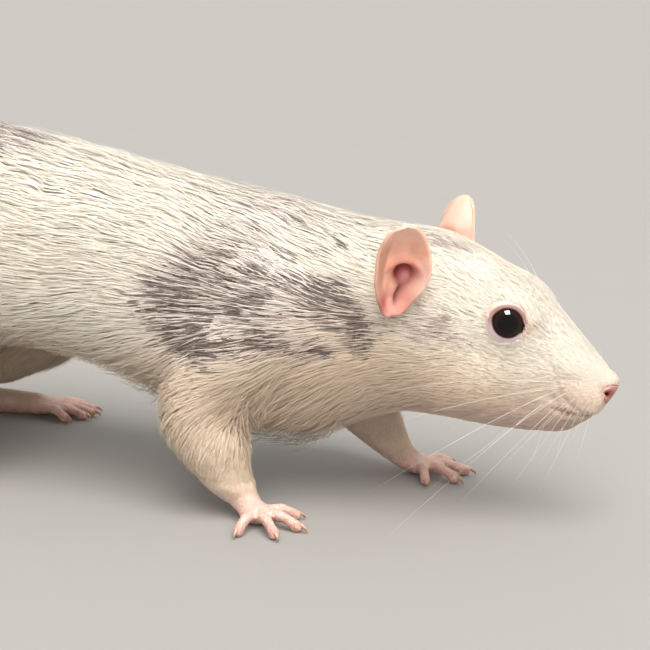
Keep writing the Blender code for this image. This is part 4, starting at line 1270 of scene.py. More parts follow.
@dataclass
class Coat(Part):
    """The fur: closed tapered tufts over the skin, along the lie of the coat."""

    markings: Markings
    lie: Lie
    tufts: int = 236_000
    guard_share: float = 0.20  # how many tufts are long, fine guard hairs
    piece_tufts: int = 31_000
    clump_size: int = 6  # how many tufts share a clump
    clump_colour: float = 0.7  # how many of a clump's tufts are grey or pale together
    bend: float = 0.40  # where along a tuft its widest ring lies
    patch: float = 0.0015  # half of a tuft's patch on the bake map
    sink: float = 0.20  # how deep a tuft's root lies under the skin
    crest: float = 0.35  # how high a tuft's back is to half of its width
    roundness: float = 0.22  # how far a tuft's shading turns from its back to its sides
    sheen_spread: float = 0.08  # how much that shading differs from tuft to tuft
    seen_share: float = 0.30  # where between its bend and its tip a tuft takes its colour from the markings
    crown: float = 0.62  # how high a tuft's bend stands, as a share of its lift
    tip_heights: Pair = (0.34, 0.66)  # the least and the most of that share at its tip
    guard_tip: float = 0.74  # the same at the tip of a guard hair
    tip_lean: float = 0.22  # how far that shading turns along the tuft at its tip
    length_spread: Pair = (0.78, 1.12)  # the least and the most of the usual length
    lift_spread: Pair = (0.66, 1.05)  # the same of its lift
    lift_limits: Pair = (0.03, 0.5)  # the least and the most lift to length
    guard_scale: Point = (1.18, 1.25, 0.66)  # a guard hair's length, lift and width to another's
    guard_tone: float = 0.7  # how bright a pale guard hair's root is to the cream
    width_spread: Pair = (0.8, 1.2)
    loose_lift: float = 0.45  # how far the loose hairs under the chest stand off
    loose_length: float = 0.35
    wide_swirl: float = 8.0  # how far the coat swirls in wide waves, in degrees
    swirl: float = 5.0  # and in small ones and from tuft to tuft
    least_width: float = 0.048  # half of the width of the shortest tufts
    width_share: float = 0.0105  # how much of their length adds to it
    over_floor: float = 0.12  # how high tufts stay over the floor
    drawn: Pair = (0.15, 0.62)  # how far a tip is drawn to its clump's
    half_way: float = 0.55  # how much of a tuft's tip colour its middle has
    map_rings: int = 24  # the rings of the body that the bake map is laid round

    @staticmethod
    def _laid(ways: Array, normals: Array) -> Array:
        """Lays directions into the surface with these normals."""
        return unit(ways - normals * (ways * normals).sum(axis=1, keepdims=True))

    def _clumps(self, roots: Array, rng: Rng) -> tuple[Array, Array]:
        """Divides the tufts into clumps.

        Args:
            roots: Where tufts grow.
            rng: The random draw.

        Returns:
            The tuft in the middle of each clump, and each tuft's clump.
        """
        count = max(1, len(roots) // self.clump_size)
        seeds = rng.choice(len(roots), count, replace=False)
        tree = tree_of(roots[seeds])
        return seeds, np.fromiter((tree.find(root)[1] for root in roots), np.int64, len(roots))

    def _drawn_together(self, roots: Array, tips: Array, middle: Array, rng: Rng) -> Array:
        """Draws tips together by clumps.

        Args:
            roots: Where tufts grow.
            tips: Where their tips would lie.
            middle: The tuft in the middle of each tuft's clump.
            rng: The random draw.

        Returns:
            The tips, partly moved to their clump's tip.
        """
        apart = np.linalg.norm(roots[middle] - roots, axis=1)
        reach = np.linalg.norm(tips - roots, axis=1)
        share = rng.uniform(*self.drawn, len(roots)) * ramp(1.0, 0.2, apart / np.maximum(reach, 0.3))
        return blend(tips, tips[middle], share * self.lie.clumping(roots))

    def grow(self, ground: Ground, rng: Rng) -> dict[str, Array]:
        """Lays every tuft over the skin.

        Args:
            ground: The skin as the coat reads it.
            rng: The random draw.

        Returns:
            Arrays of roots, middles, tips, normals, widths and colours.
        """
        roots, normals = ground.scatter(self.tufts, self.lie.density, rng)
        count = len(roots)
        guard = rng.random(count) < self.guard_share
        usual = self.lie.length(roots)
        longer, steeper, finer = self.guard_scale
        length = usual * rng.uniform(*self.length_spread, count) * np.where(guard, longer, 1.0)
        steep = np.clip(self.lie.depth(roots) / usual, *self.lift_limits)
        lift = steep * rng.uniform(*self.lift_spread, count)
        lift *= np.where(guard, steeper, 1.0)
        loose = self.lie.fringe(roots, normals) * np.where(guard, 1.0, 0.25)
        lift += self.loose_lift * loose * rng.random(count)
        length *= 1.0 + self.loose_length * loose
        waves = self.wide_swirl * ripple(roots, 11.0, 41) + self.swirl * ripple(roots, 4.0, 42)
        swirl = np.radians(waves + rng.normal(0, self.swirl, count))
        flow = self._laid(self.lie.way(roots), normals)
        side = np.cross(normals, flow)
        flow = flow * np.cos(swirl)[:, None] + side * np.sin(swirl)[:, None]
        middles, middle_normals = ground.drop(roots + flow * (length * self.bend)[:, None])
        along = self._laid(unit(middles - roots), middle_normals)
        bend = self._laid(self.lie.way(middles), middle_normals)
        onward = unit(along + 0.5 * bend) * (length * (1.0 - self.bend))[:, None]
        tips, tip_normals = ground.drop(middles + onward)
        seen = blend(middles, tips, np.full(count, self.seen_share))
        seeds, owner = self._clumps(roots, rng)
        own = rng.random(count)
        draw = np.where(rng.random(count) < self.clump_colour, rng.random(len(seeds))[owner], own)
        root_colour, tip_colour, white = self.markings.hair(seen, draw, rng)
        rise = lift * length
        usual_tips = rng.uniform(*self.tip_heights, count)
        tip_share = np.maximum(np.where(guard, self.guard_tip, usual_tips), loose)
        middles = middles + middle_normals * (rise * self.crown)[:, None]
        tips = tips + tip_normals * (rise * tip_share)[:, None]
        tips = self._drawn_together(roots, tips, seeds[owner], rng)
        width = (self.least_width + self.width_share * usual) * np.where(guard, finer, 1.0)
        width = width * rng.uniform(*self.width_spread, count)
        tips[:, 2] = np.maximum(tips[:, 2], self.over_floor)
        middles[:, 2] = np.maximum(middles[:, 2], self.over_floor)
        pale_guard = guard & white & (self.markings.grey(seen) > 0.05)
        root_colour[pale_guard] = np.array(self.markings.cream) * self.guard_tone
        sheen = unit(middle_normals + rng.normal(0.0, self.sheen_spread, (count, 3)))
        return {
            "root": roots, "middle": middles, "tip": tips, "normal": normals, "flow": flow,
            "width": width, "root_colour": root_colour, "tip_colour": tip_colour, "sheen": sheen,
        }

    def _tuft_mesh(self, name: str, tufts: dict[str, Array]) -> Piece:
        """Builds one piece of the coat.

        Args:
            name: The piece's name.
            tufts: The arrays that grow gives, for this piece's tufts.

        Returns:
            The piece, with its pigments and bake map.
        """
        count = len(tufts["root"])
        roots = tufts["root"] - tufts["normal"] * self.sink
        side = unit(np.cross(tufts["flow"], tufts["normal"]))
        width = tufts["width"][:, None]
        middle = tufts["middle"]
        crest = tufts["normal"] * width * self.crest
        ring = [middle + side * width, middle + crest, middle - side * width]
        points = np.stack([roots, *ring, tufts["tip"]], axis=1).reshape(-1, 3)
        pattern = np.array([(0, 1, 2), (0, 2, 3), (0, 3, 1), (2, 1, 4), (3, 2, 4), (1, 3, 4)])
        triangles = (pattern[None] + 5 * np.arange(count)[:, None, None]).reshape(-1, 3)
        piece = MeshKit.build(name, self.anatomy.metres(points), triangles)
        base, end = tufts["root_colour"], tufts["tip_colour"]
        half = base * (1.0 - self.half_way) + end * self.half_way
        MeshKit.colour(piece, np.stack([base, half, half, half, end], axis=1).reshape(-1, 3))
        sheen, lean = tufts["sheen"], side * self.roundness
        onward = unit(tufts["tip"] - middle) * self.tip_lean
        shades = [sheen, unit(sheen + lean), sheen, unit(sheen - lean), unit(sheen + onward)]
        MeshKit.store(piece, "custom_normal", np.stack(shades, axis=1).reshape(-1, 3))
        self._bake_map(piece, tufts, pattern)
        return piece

    def _bake_map(self, piece: Piece, tufts: dict[str, Array], pattern: Array) -> None:
        """Lays each tuft on an unwrap of the skin round its own axis, as a small patch at its root.

        Args:
            piece: The piece.
            tufts: Its tufts.
            pattern: One tuft's triangles.
        """
        roots = tufts["root"]
        run, first, second = roots[:, [2, 1, 0] if "leg" in piece.name else [0, 1, 2]].T
        slices = np.array_split(np.argsort(run), self.map_rings)
        stations = [run[part].mean() for part in slices]
        first = first - np.interp(run, stations, [np.median(first[part]) for part in slices])
        second = second - np.interp(run, stations, [np.median(second[part]) for part in slices])
        turn = np.arctan2(second, first) / (2 * math.pi) + 0.5
        run = (run - run.min()) / max(np.ptp(run), 1e-6)
        margin = 2 * self.patch
        centre = np.stack([margin + turn * (1 - 2 * margin), margin + run * (1 - 2 * margin)], axis=1)
        corner = np.array([(0.0, -1.0), (-0.9, -0.2), (0.0, 0.2), (0.9, -0.2), (0.0, 1.0)]) * self.patch
        places = (centre[:, None] + corner[None]).reshape(-1, 2)
        loops = (pattern[None] + 5 * np.arange(len(roots))[:, None, None]).ravel()
        layer = piece.data.uv_layers.new(name="OFBake")
        layer.data.foreach_set("uv", places[loops].astype(np.float32).ravel())

    def _regions(self, roots: Array) -> dict[str, Array]:
        """Which tufts belong to the trunk with the head, and to each leg.

        Args:
            roots: The tufts' roots.

        Returns:
            A region's name and its tufts' numbers, from nose to rump.
        """
        legs = self.lie.leg(roots) > 0.5
        found = {"trunk": np.nonzero(~legs)[0]}
        for side in Side:
            own = legs & (roots[:, 1] * side.value > 0)
            found[f"{side.word}_foreleg"] = np.nonzero(own & (roots[:, 0] > WAIST))[0]
            found[f"{side.word}_hind_leg"] = np.nonzero(own & (roots[:, 0] <= WAIST))[0]
        return {name: rows[np.argsort(-roots[rows, 0], kind="stable")] for name, rows in found.items()}

    def make(self, ground: Ground, finish: CoatFinish, grey_finish: CoatFinish) -> None:
        """Builds, dresses and registers the coat in pieces from nose to rump.

        Args:
            ground: The skin as the coat reads it.
            finish: The pale coat's material.
            grey_finish: The material of pieces that are mostly grey.
        """
        tufts = self.grow(ground, np.random.default_rng(11))
        for name, index in self._regions(tufts["root"]).items():
            parts = math.ceil(len(index) / self.piece_tufts)
            for i, rows in enumerate(np.array_split(index, parts)):
                part = {key: values[rows] for key, values in tufts.items()}
                piece = self._tuft_mesh(f"{name}_coat_{i + 1}", part)
                grey = self.markings.grey(part["root"]).mean() > 0.2
                register(piece, grey_finish if grey else finish)


@dataclass
class Ear(Part):
    """One ear: a thin cup with a rolled rim, a ridge, a deep hollow and a lobe in it."""

    side: Side
    root: Point = (19.3, 13.1, 41.8)  # the foot of the ear on the left side
    up: Point = (0.16, 0.36, 0.92)  # the way the ear rises
    out: Point = (0.50, 0.83, -0.22)  # the way its cup opens
    height: float = 19.0  # foot to tip
    half_width: float = 5.5  # half of its width at the widest
    foot_half_width: float = 1.5
    widest: float = 0.51  # the share of the height where it is widest
    depth: float = 4.2
    rim_foot: float = 4.0  # how far the rim stands out at the foot
    rim_tip: float = 1.0  # and at the tip
    thickness: float = 0.62
    across: int = 60
    rise: int = 70
    sunk: float = 0.05  # the share of the height that lies in the head
    sway: float = 1.7  # how far the foot lies back
    seat_depth: float = 2.4  # how deep the foot is set in
    chart: str = "chart"  # the attribute that keeps places across and up

    def _outline(self, v: Array) -> Array:
        """Half of the ear's width at a share of its height."""
        share = np.clip((v - self.widest) / (1.0 - self.widest), 0.0, 1.0)
        top = self.half_width * np.maximum((1.0 - share**2.2) ** (1 / 2.2), 0.12)
        low = np.sin(math.pi / 2 * np.clip(v, 0.0, None) / self.widest) ** 1.25
        foot = self.foot_half_width + (self.half_width - self.foot_half_width) * low
        foot *= 0.35 + 0.65 * np.sqrt(np.clip(v / 0.07, 0.0, 1.0))
        return np.where(v > self.widest, top, foot)

    def _relief(self, a: Array, v: Array) -> dict[str, Array]:
        """The cup's forms, as shares from 0 to 1.

        Args:
            a: Places across, from the back rim at -1 to the front rim at 1.
            v: Places up, from 0 to 1.

        Returns:
            Hollow, slit, fold over the hollow, lobe in it, back band and front flap.
        """
        hollow = bell(((a - 0.24) / 0.44) ** 2 + ((v - 0.385) / 0.115) ** 2)
        slit_line = a - 0.30 + 0.9 * (0.23 - v)
        slit = bell(slit_line / 0.20) * ramp(0.36, 0.28, v) * ramp(0.07, 0.13, v)
        crest = 0.56 - 0.06 * a - 0.20 * (a - 0.22) ** 2
        fold = bell((v - crest) / 0.05) * ramp(-0.62, -0.35, a) * ramp(0.85, 0.5, a)
        lobe = np.exp(-((((a - 0.34) / 0.20) ** 2 + ((v - 0.335) / 0.080) ** 2) ** 1.4))
        band = ramp(-0.42, -0.62, a + 0.12 * np.sin(5.0 * v))
        flap = ramp(0.42, 0.75, a) * ramp(0.16, 0.30, v) * ramp(0.66, 0.52, v)
        return {"hollow": hollow, "slit": slit, "fold": fold, "lobe": lobe, "band": band, "flap": flap}

    def _place(self, a: Array, v: Array) -> Array:
        """Places of the cup as rows of (forward, outward, upward) in millimetres."""
        height = np.clip(v, 0.0, 1.0)
        width = self._outline(v)
        depth = self.depth * np.sin(math.pi * (0.12 + 0.88 * height)) * ramp(0.01, 0.16, v)
        rim = self.rim_foot + (self.rim_tip - self.rim_foot) * height
        outward = rim - depth * (1.0 - np.abs(a) ** 2.4)
        forms = self._relief(a, v)
        outward += -1.9 * forms["hollow"] - 1.1 * forms["slit"] + 0.9 * forms["fold"] + 1.5 * forms["lobe"]
        outward += 0.45 * forms["flap"] + 0.35 * forms["band"]
        rolled = ramp(0.10, 0.40, v) * ramp(1.0, 0.9, v)
        outward -= 0.75 * ramp(0.82, 1.0, np.abs(a)) * rolled
        outward -= 1.2 * ramp(0.34, 0.02, v)
        seated = ramp(-0.05, 0.035, v)
        outward = outward * seated - self.seat_depth * (1.0 - seated)
        forward = width * a * (1.0 - 0.07 * ramp(0.88, 1.0, np.abs(a)))
        forward -= self.sway * ramp(0.55, 0.0, v)
        return np.stack([forward, outward, v * self.height], axis=1)

    def make(self, finish: SkinFinish) -> None:
        """Builds, dresses and registers the ear.

        Args:
            finish: The ear's material.
        """
        a = np.linspace(-1.0, 1.0, self.across)
        rows = 1.0 - (1.0 - np.linspace(0.0, 1.0, self.rise)) ** 1.6
        v = -self.sunk + (1.0 + self.sunk) * rows
        grid_a, grid_v = (grid.ravel() for grid in np.meshgrid(a, v))
        places = self._place(grid_a, grid_v)
        up = Vector(self.side.place(self.up)).normalized()
        out = Vector(self.side.place(self.out))
        out = (out - up * out.dot(up)).normalized()
        front = out.cross(up) * self.side.value
        basis = np.array([front, out, up])
        points = places @ basis + np.array(self.side.place(self.root))
        quads = []
        for i in range(self.rise - 1):
            for j in range(self.across - 1):
                k = i * self.across + j
                quads.append((k, k + 1, k + self.across + 1, k + self.across))
        mesh = bpy.data.meshes.new(f"{self.side.word}_ear_cup")
        mesh.from_pydata(self.anatomy.metres(points).tolist(), [], quads)
        cup = MeshKit.hang(mesh.name, mesh)
        MeshKit.store(cup, self.chart, np.stack([grid_a, grid_v, 0 * grid_v], axis=1))
        shell = cup.modifiers.new("shell", "SOLIDIFY")
        shell.thickness = self.thickness * MM
        shell.offset = 0.0
        round_off = cup.modifiers.new("round", "SUBSURF")
        round_off.levels = round_off.render_levels = 1
        MeshKit.settle(cup)
        MeshKit.face_out(cup)
        self._colour(cup, np.array(out))
        cup.data.shade_smooth()
        register(cup, finish, [f"{self.side.word}_ear"])

    def _colour(self, cup: Piece, out: Array) -> None:
        """Paints the cup: salmon plate, browner back band, dark red hollow, mauve lobe, pale outside, with
        painted shade darkening the hollow, its slit and the back of the foot.

        Args:
            cup: The ear, with its chart of places across and up.
            out: The way that the cup opens.
        """
        chart = MeshKit.read(cup, self.chart)
        a, v = chart[:, 0], chart[:, 1]
        forms = self._relief(a, v)
        behind = ramp(0.05, -0.35, MeshKit.normals_of(cup) @ out)
        rim = ramp(0.86, 0.97, np.abs(a)) * ramp(0.3, 0.6, v) * ramp(0.995, 0.93, v)
        # Painted shadow at the back of the ear's foot, where it sinks into the fur.
        foot = bell((a + 0.85) / 0.35, (v - 0.17) / 0.08)
        plate = np.array((0.97, 0.56, 0.43)) * (1.0 + 0.05 * ripple(chart, 0.35, 51))[:, None]
        MeshKit.colour(cup, painted(plate, (
            ((0.97, 0.62, 0.50), 0.8 * ramp(0.72, 0.95, v)),
            ((0.60, 0.32, 0.23), 0.8 * forms["band"] * ramp(0.95, 0.70, v)),
            ((0.94, 0.62, 0.55), 0.8 * forms["flap"]),
            ((0.93, 0.38, 0.29), 0.7 * forms["fold"]),
            ((0.74, 0.37, 0.33), 0.8 * ramp(0.34, 0.16, v)),
            ((0.42, 0.10, 0.09), 0.8 * foot),
            # Hollow darker than the tissue: partly its own red, partly painted shade in the recess; the
            # near-black slit is painted shade of the ear's opening.
            ((0.34, 0.055, 0.042), 1.3 * forms["hollow"]),
            ((0.13, 0.016, 0.014), 0.9 * forms["slit"]),
            ((0.66, 0.33, 0.33), 0.9 * forms["lobe"]),
            ((0.92, 0.58, 0.46), 0.7 * rim),
            ((0.80, 0.51, 0.43), 0.8 * behind * ramp(1.0, 0.72, v) * (1.0 - 0.7 * rim)),
        )))


@dataclass
class Eye(Part):
    """One eye with its wet ball and the dark margin of its lids."""

    side: Side
    look: Point = (0.30, 0.93, 0.20)  # the way that the eye looks
    opening: float = 47.5  # half of the lids' opening, in degrees
    collar: float = 25.0  # the lids' width, in degrees
    collar_rise: float = 1.0  # how far their outer edge stands over the ball
    lid_thickness: float = 0.20
    cornea: float = 0.04  # how much fuller the ball is in front
    corner: float = 16.0  # how far the front corner is drawn out, in degrees

    def _measure(self) -> tuple[Vector, float, Vector]:
        """The ball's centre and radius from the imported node, and the way it looks."""
        low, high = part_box(self.side.word + "_eye")
        return (low + high) / 2, (high.z - low.z) / 2, Vector(self.side.place(self.look)).normalized()

    def ball(self, finish: GlossFinish) -> None:
        """Builds the eyeball, a little fuller at the cornea."""
        centre, radius, look = self._measure()
        work = bmesh.new()
        bmesh.ops.create_uvsphere(work, u_segments=64, v_segments=40, radius=1.0)
        turn = look.to_track_quat("Z", "Y").to_matrix()
        for vert in work.verts:
            front = max(vert.co.z, 0.0)
            swell = 1.0 + self.cornea * front**6
            vert.co = centre + turn @ (vert.co * swell) * radius * 0.985
        ball = MeshKit.from_bmesh(f"{self.side.word}_eyeball", work)
        points = MeshKit.points_of(ball)
        facing = ((points - np.array(centre)) / radius) @ np.array(look)
        iris = ramp(0.55, 0.66, facing) * ramp(0.90, 0.80, facing)
        MeshKit.colour(ball, blend((0.0045, 0.0035, 0.0035), (0.016, 0.007, 0.005), iris))
        register(ball, finish, [self.side.word + "_eye"])

    def lids(self, finish: SkinFinish) -> None:
        """Builds the rims of both lids, drawn out to a corner towards the nose and one behind."""
        centre, radius, look = self._measure()
        turn = look.to_track_quat("Z", "Y").to_matrix()
        nose = turn.inverted() @ Vector((1.0, 0.0, -0.30))
        nose_turn = math.atan2(nose.y, nose.x)
        steps, sides = 96, 14
        work = bmesh.new()
        rings, colours = [], []
        for i in range(steps):
            angle = 2 * math.pi * i / steps
            apart = math.remainder(angle - nose_turn, 2 * math.pi)
            behind = math.remainder(apart - math.pi, 2 * math.pi)
            front_share, back_share = math.exp(-((apart / 0.27) ** 2)), math.exp(-((behind / 0.34) ** 2))
            outward = Vector((math.cos(angle), math.sin(angle), 0.0))
            height = (turn @ outward).z
            edge = self.opening + self.corner * front_share + 4.0 * back_share - 2.0 * math.sin(apart) ** 2
            ring = []
            for j in range(sides):
                spin = 2 * math.pi * j / sides
                across = math.cos(spin)
                share = (across + 1) / 2
                theta = math.radians(edge + self.collar * share)
                reach = radius + (self.collar_rise * share**1.3 + self.lid_thickness * math.sin(spin)) * MM
                place = (outward * math.sin(theta) + Vector((0, 0, math.cos(theta)))) * reach
                ring.append(work.verts.new(centre + turn @ place))
                colours.append(self._lid_colour(across, height, front_share, back_share))
            rings.append(ring)
        for i in range(steps):
            MeshKit.bridge(work, rings[i], rings[(i + 1) % steps])
        lids = MeshKit.from_bmesh(f"{self.side.word}_eyelids", work)
        MeshKit.colour(lids, np.array(colours))
        register(lids, finish)

    @staticmethod
    def _lid_colour(across: float, height: float, front_share: float, back_share: float) -> Colour:
        """The lids' colour: a dark wet edge, brown-pink above and in the corners, pale below; the brown-pink
        above is partly painted shade.

        Args:
            across: From the inner edge at -1 to the outer at 1.
            height: How far up the eye the place lies, from -1 to 1.
            front_share: How near it is to the front corner.
            back_share: How near it is to the rear corner.

        Returns:
            A linear colour.
        """
        over = float(ramp(-0.35, 0.35, height))
        under = 1.0 - over
        tone = np.array((0.60, 0.46, 0.47))
        for colour, share in (
            # darker above: partly the lid's own brown-pink, partly painted shade
            ((0.34, 0.17, 0.15), over),
            ((0.87, 0.77, 0.67), float(ramp(-0.35 + 0.35 * under, 0.35 + 0.5 * under, across))),
            ((0.32, 0.12, 0.11), 0.85 * front_share),
            ((0.46, 0.33, 0.33), 0.6 * back_share),
            ((0.030, 0.012, 0.011), float(ramp(-0.60, -0.90, across))),
        ):
            tone = tone + (np.array(colour) - tone) * share
        return tuple(tone)


@dataclass
class Nose(Part):
    """The bare pad at the tip of the nose, with comma nostrils and a cleft, laid into the skin."""

    lie: Lie  # the coat, which ends where the pad begins
    centre: Point = (54.8, 0.0, 26.2)  # the place that the pad is measured from
    nostril: Point = (57.5, 2.75, 26.3)  # the left nostril's middle
    proud: float = 0.10  # how far the pad stands over the skin, in millimetres
    sunk: float = 0.55  # how deep its edge lies under the skin
    hollow: float = 1.5  # how deep the skin is let in under the pad
    smoothing: int = 30

    def _laid(self, nose: Piece, skin: Piece) -> Array:
        """Draws a ball out to the skin on every side.

        Args:
            nose: The ball, with a radius of one.
            skin: The skin.

        Returns:
            The ball's new points in the rat's own millimetres.
        """
        tree = BVHTree.FromObject(skin, bpy.context.evaluated_depsgraph_get())
        middle = self.anatomy.place(self.centre)
        ways = MeshKit.points_of(nose)
        reach = np.empty(len(ways))
        for i, way in enumerate(ways):
            hit = tree.ray_cast(middle + Vector(way) * 9 * MM, -Vector(way), 9 * MM)[0]
            reach[i] = (hit - middle).length / MM if hit else 2.0
        reach = np.minimum(reach, 5.0)
        pairs = np.empty(len(nose.data.edges) * 2, np.int32)
        nose.data.edges.foreach_get("vertices", pairs)
        first, second = pairs.reshape(-1, 2).T
        count = np.bincount(pairs, minlength=len(ways))
        for _ in range(self.smoothing):
            total = np.bincount(first, reach[second], len(ways))
            reach = (total + np.bincount(second, reach[first], len(ways))) / count
        return np.array(self.centre) + ways * reach[:, None]

    def _sink_skin(self, skin: Piece) -> None:
        """Lets the skin in under the pad, so that the nostrils have room."""
        metres = MeshKit.points_of(skin)
        depth = ramp(0.05, 0.45, self.lie.bare_nose(self.anatomy.own(metres)))
        metres -= MeshKit.normals_of(skin) * (depth * self.hollow * MM)[:, None]
        MeshKit.put_points(skin, metres)

    def make(self, skin: Piece, finish: SkinFinish) -> None:
        """Builds, dresses and registers the nose.

        Args:
            skin: The skin that the pad is laid into.
            finish: The nose's material.
        """
        work = bmesh.new()
        bmesh.ops.create_icosphere(work, subdivisions=6, radius=1.0)
        nose = MeshKit.from_bmesh("nose_pad", work)
        ways = MeshKit.points_of(nose)
        points = self._laid(nose, skin)
        bare = self.lie.bare_nose(points)
        edge = ramp(-0.15, 0.22, bare)
        wide, high = np.abs(points[:, 1]), points[:, 2]
        cleft = bell(wide / 0.24) * ramp(27.6, 26.6, high) * edge
        lean = high - self.nostril[2] - 0.42 * (wide - self.nostril[1])
        across = wide - self.nostril[1]
        pit = bell(across / 0.95, lean / (0.46 - 0.10 * np.clip(across, -1.0, 1.0))) * edge
        wing = bell(across / 1.2, (lean - 0.95) / 0.42) * edge
        sill = bell(across / 1.1, (lean + 0.95) / 0.40) * edge
        outward = -self.sunk + (self.sunk + self.proud) * edge
        outward += 0.26 * wing + 0.16 * sill - 0.42 * cleft - 1.10 * pit
        MeshKit.put_points(nose, self.anatomy.metres(points + ways * outward[:, None]))
        self._sink_skin(skin)
        pad = np.array((0.54, 0.245, 0.22)) * (1.0 + 0.08 * ripple(points, 1.6, 61))[:, None]
        MeshKit.colour(nose, painted(pad, (
            ((0.34, 0.105, 0.100), 0.9 * bell(across / 1.5, lean / 1.35)),
            ((0.38, 0.14, 0.13), 0.7 * cleft),
            ((0.74, 0.52, 0.45), 0.8 * ramp(0.35, 0.0, bare)),
            # painted shade: the nostril openings are painted near black for the dark inside them
            ((0.045, 0.010, 0.010), ramp(0.25, 0.70, pit)),
        )))
        register(nose, finish, ["nose"])


@dataclass
class Whiskers(Part):
    """The long fine hairs of muzzle, brow and chin."""

    rows: int = 5
    per_row: int = 5
    length: float = 35.0
    radius: float = 0.050
    front: Pair = (54.6, 23.6)  # the lowest front hair's place, as X and Z
    patch: Pair = (8.2, 5.6)  # the patch of roots, back and up
    droop: Point = (-0.10, 0.0, -0.16)  # how far a hair's tip falls, as a share of its length

    def _hair(self, work: Work, root: Vector, way: Vector, length: float, thick: float) -> None:
        """Adds one tapering hair to a bmesh."""
        line, widths = [], []
        for i in range(9):
            t = i / 8
            bend = Vector(self.droop) * t * t
            line.append(root + (way * (t - 0.03) + bend) * length * MM)
            widths.append(thick * (1.0 - 0.88 * t**0.8) * MM)
        Tube(line, widths, 5, 1.0, 1).add_to(work)

    def make(self, skin: Piece, side: Side, finish: SkinFinish) -> None:
        """Builds one side's whiskers as one piece, rooted on the skin.

        Args:
            skin: The finished skin.
            side: The side of the head.
            finish: Their material.
        """
        rng = np.random.default_rng(70 + side.value)
        tree = BVHTree.FromObject(skin, bpy.context.evaluated_depsgraph_get())
        work = bmesh.new()
        spots = []
        for row in range(self.rows):
            for k in range(self.per_row):
                back, high = k / (self.per_row - 1), row / (self.rows - 1)
                x = self.front[0] - self.patch[0] * back + rng.uniform(-0.3, 0.3)
                z = self.front[1] + self.patch[1] * high + 1.2 * back + rng.uniform(-0.2, 0.2)
                sweep = -2.0 - 50.0 * back + rng.uniform(-6, 6)
                lift = -34.0 + 56.0 * high + rng.uniform(-6, 6)
                length = self.length * (0.34 + 0.66 * back) * rng.uniform(0.78, 1.0)
                spots.append((x, z, sweep, lift, length, self.radius * (0.62 + 0.38 * back)))
        spots += [
            (41.5, 44.3, -45.0, 48.0, 15.0, 0.045), (40.0, 44.8, -60.0, 55.0, 11.0, 0.040),
            (31.0, 31.0, -65.0, 5.0, 12.0, 0.040), (46.0, 20.0, -10.0, -50.0, 7.0, 0.040),
            (49.0, 19.6, 10.0, -45.0, 6.0, 0.040),
        ]
        for x, z, sweep, lift, length, thick in spots:
            start = self.anatomy.place((x, side.value * 60.0, z))
            hit = tree.ray_cast(start, Vector((0.0, -side.value, 0.0)))[0]
            if hit is None:
                continue
            turn, tilt = math.radians(sweep), math.radians(lift)
            level = math.cos(tilt)
            way = Vector((math.sin(turn) * level, side.value * math.cos(turn) * level, math.sin(tilt)))
            self._hair(work, hit, way.normalized(), length, thick)
        made = MeshKit.from_bmesh(f"{side.word}_whiskers", work)
        points = self.anatomy.own(MeshKit.points_of(made))
        tone = 0.86 + 0.08 * ripple(points, 14.0, 71)
        MeshKit.colour(made, np.array((0.90, 0.87, 0.82)) * tone[:, None])
        register(made, finish)


@dataclass
class Tail(Part):
    """The scaled tail, laid on the floor behind the rat."""

    route: tuple[Point, ...] = (  # the places that it passes
        (-121.0, 0.0, 43.5), (-125.5, 0.0, 41.6), (-131.0, 0.0, 38.4), (-140.0, -0.6, 30.5),
        (-149.5, -1.8, 19.5), (-159.5, -3.4, 9.6), (-171.5, -5.4, 3.0), (-186.0, -7.4, 0.0),
        (-208.0, -7.0, 0.0), (-232.0, 1.5, 0.0), (-253.0, 13.0, 0.0), (-275.0, 18.5, 0.0),
    )
    length: float = 178.0
    root_radius: float = 5.2
    tip_radius: float = 1.1
    rest: float = 0.88  # how high its middle lies over the floor, as a share of its radius
    ring_pitch: float = 1.15  # the distance between two rings of scales
    ring_height: float = 0.09
    ring_steps: int = 5
    sides: int = 36

    def _line(self) -> tuple[Array, Array, Array]:
        """Even steps along the tail: places, radii and runs in millimetres."""
        raw, _ = spline([Vector(point) for point in self.route], [1.0] * len(self.route), 12)
        raw = np.array(raw)
        runs = np.concatenate([[0.0], np.cumsum(np.linalg.norm(np.diff(raw, axis=0), axis=1))])
        steps = int(runs[-1] / self.ring_pitch) * self.ring_steps
        even = np.linspace(0.0, runs[-1], steps + 1)
        places = np.stack([np.interp(even, runs, raw[:, k]) for k in range(3)], axis=1)
        share = np.clip((even - 5.0) / self.length, 0.0, 1.0)
        radii = self.tip_radius + (self.root_radius - self.tip_radius) * (1.0 - share) ** 1.2
        places[:, 2] = np.maximum(places[:, 2], radii * self.rest)
        return places, radii, even

    def make(self, finish: SkinFinish) -> None:
        """Builds, dresses and registers the tail."""
        places, radii, runs = self._line()
        phase = runs / self.ring_pitch * 2 * math.pi
        relief = self.ring_height * (0.4 + 0.6 * radii / self.root_radius)
        line = [self.anatomy.place(place) for place in places]
        widths = []
        for i, radius in enumerate(radii):
            ridge = math.cos(phase[i] % (2 * math.pi) / 2) ** 2
            widths.append((radius - relief[i] * ridge) * MM)
        work = bmesh.new()
        Tube(line, widths, self.sides).add_to(work)
        tail = MeshKit.from_bmesh("tail", work)
        metres = MeshKit.points_of(tail)
        metres[:, 2] = np.maximum(metres[:, 2], FLOOR_GAP)
        MeshKit.put_points(tail, metres)
        points = self.anatomy.own(metres)
        tone = 1.0 + 0.05 * ripple(points, 6.0, 81) + 0.04 * ripple(points, 1.5, 82)
        colours = np.array((0.60, 0.40, 0.335)) * tone[:, None]
        pale = ramp(-190.0, -270.0, points[:, 0])
        MeshKit.colour(tail, blend(colours, (0.68, 0.50, 0.43), 0.6 * pale))
        register(tail, finish, ["tail_root", "tail_fore", "tail_middle", "tail_end"])


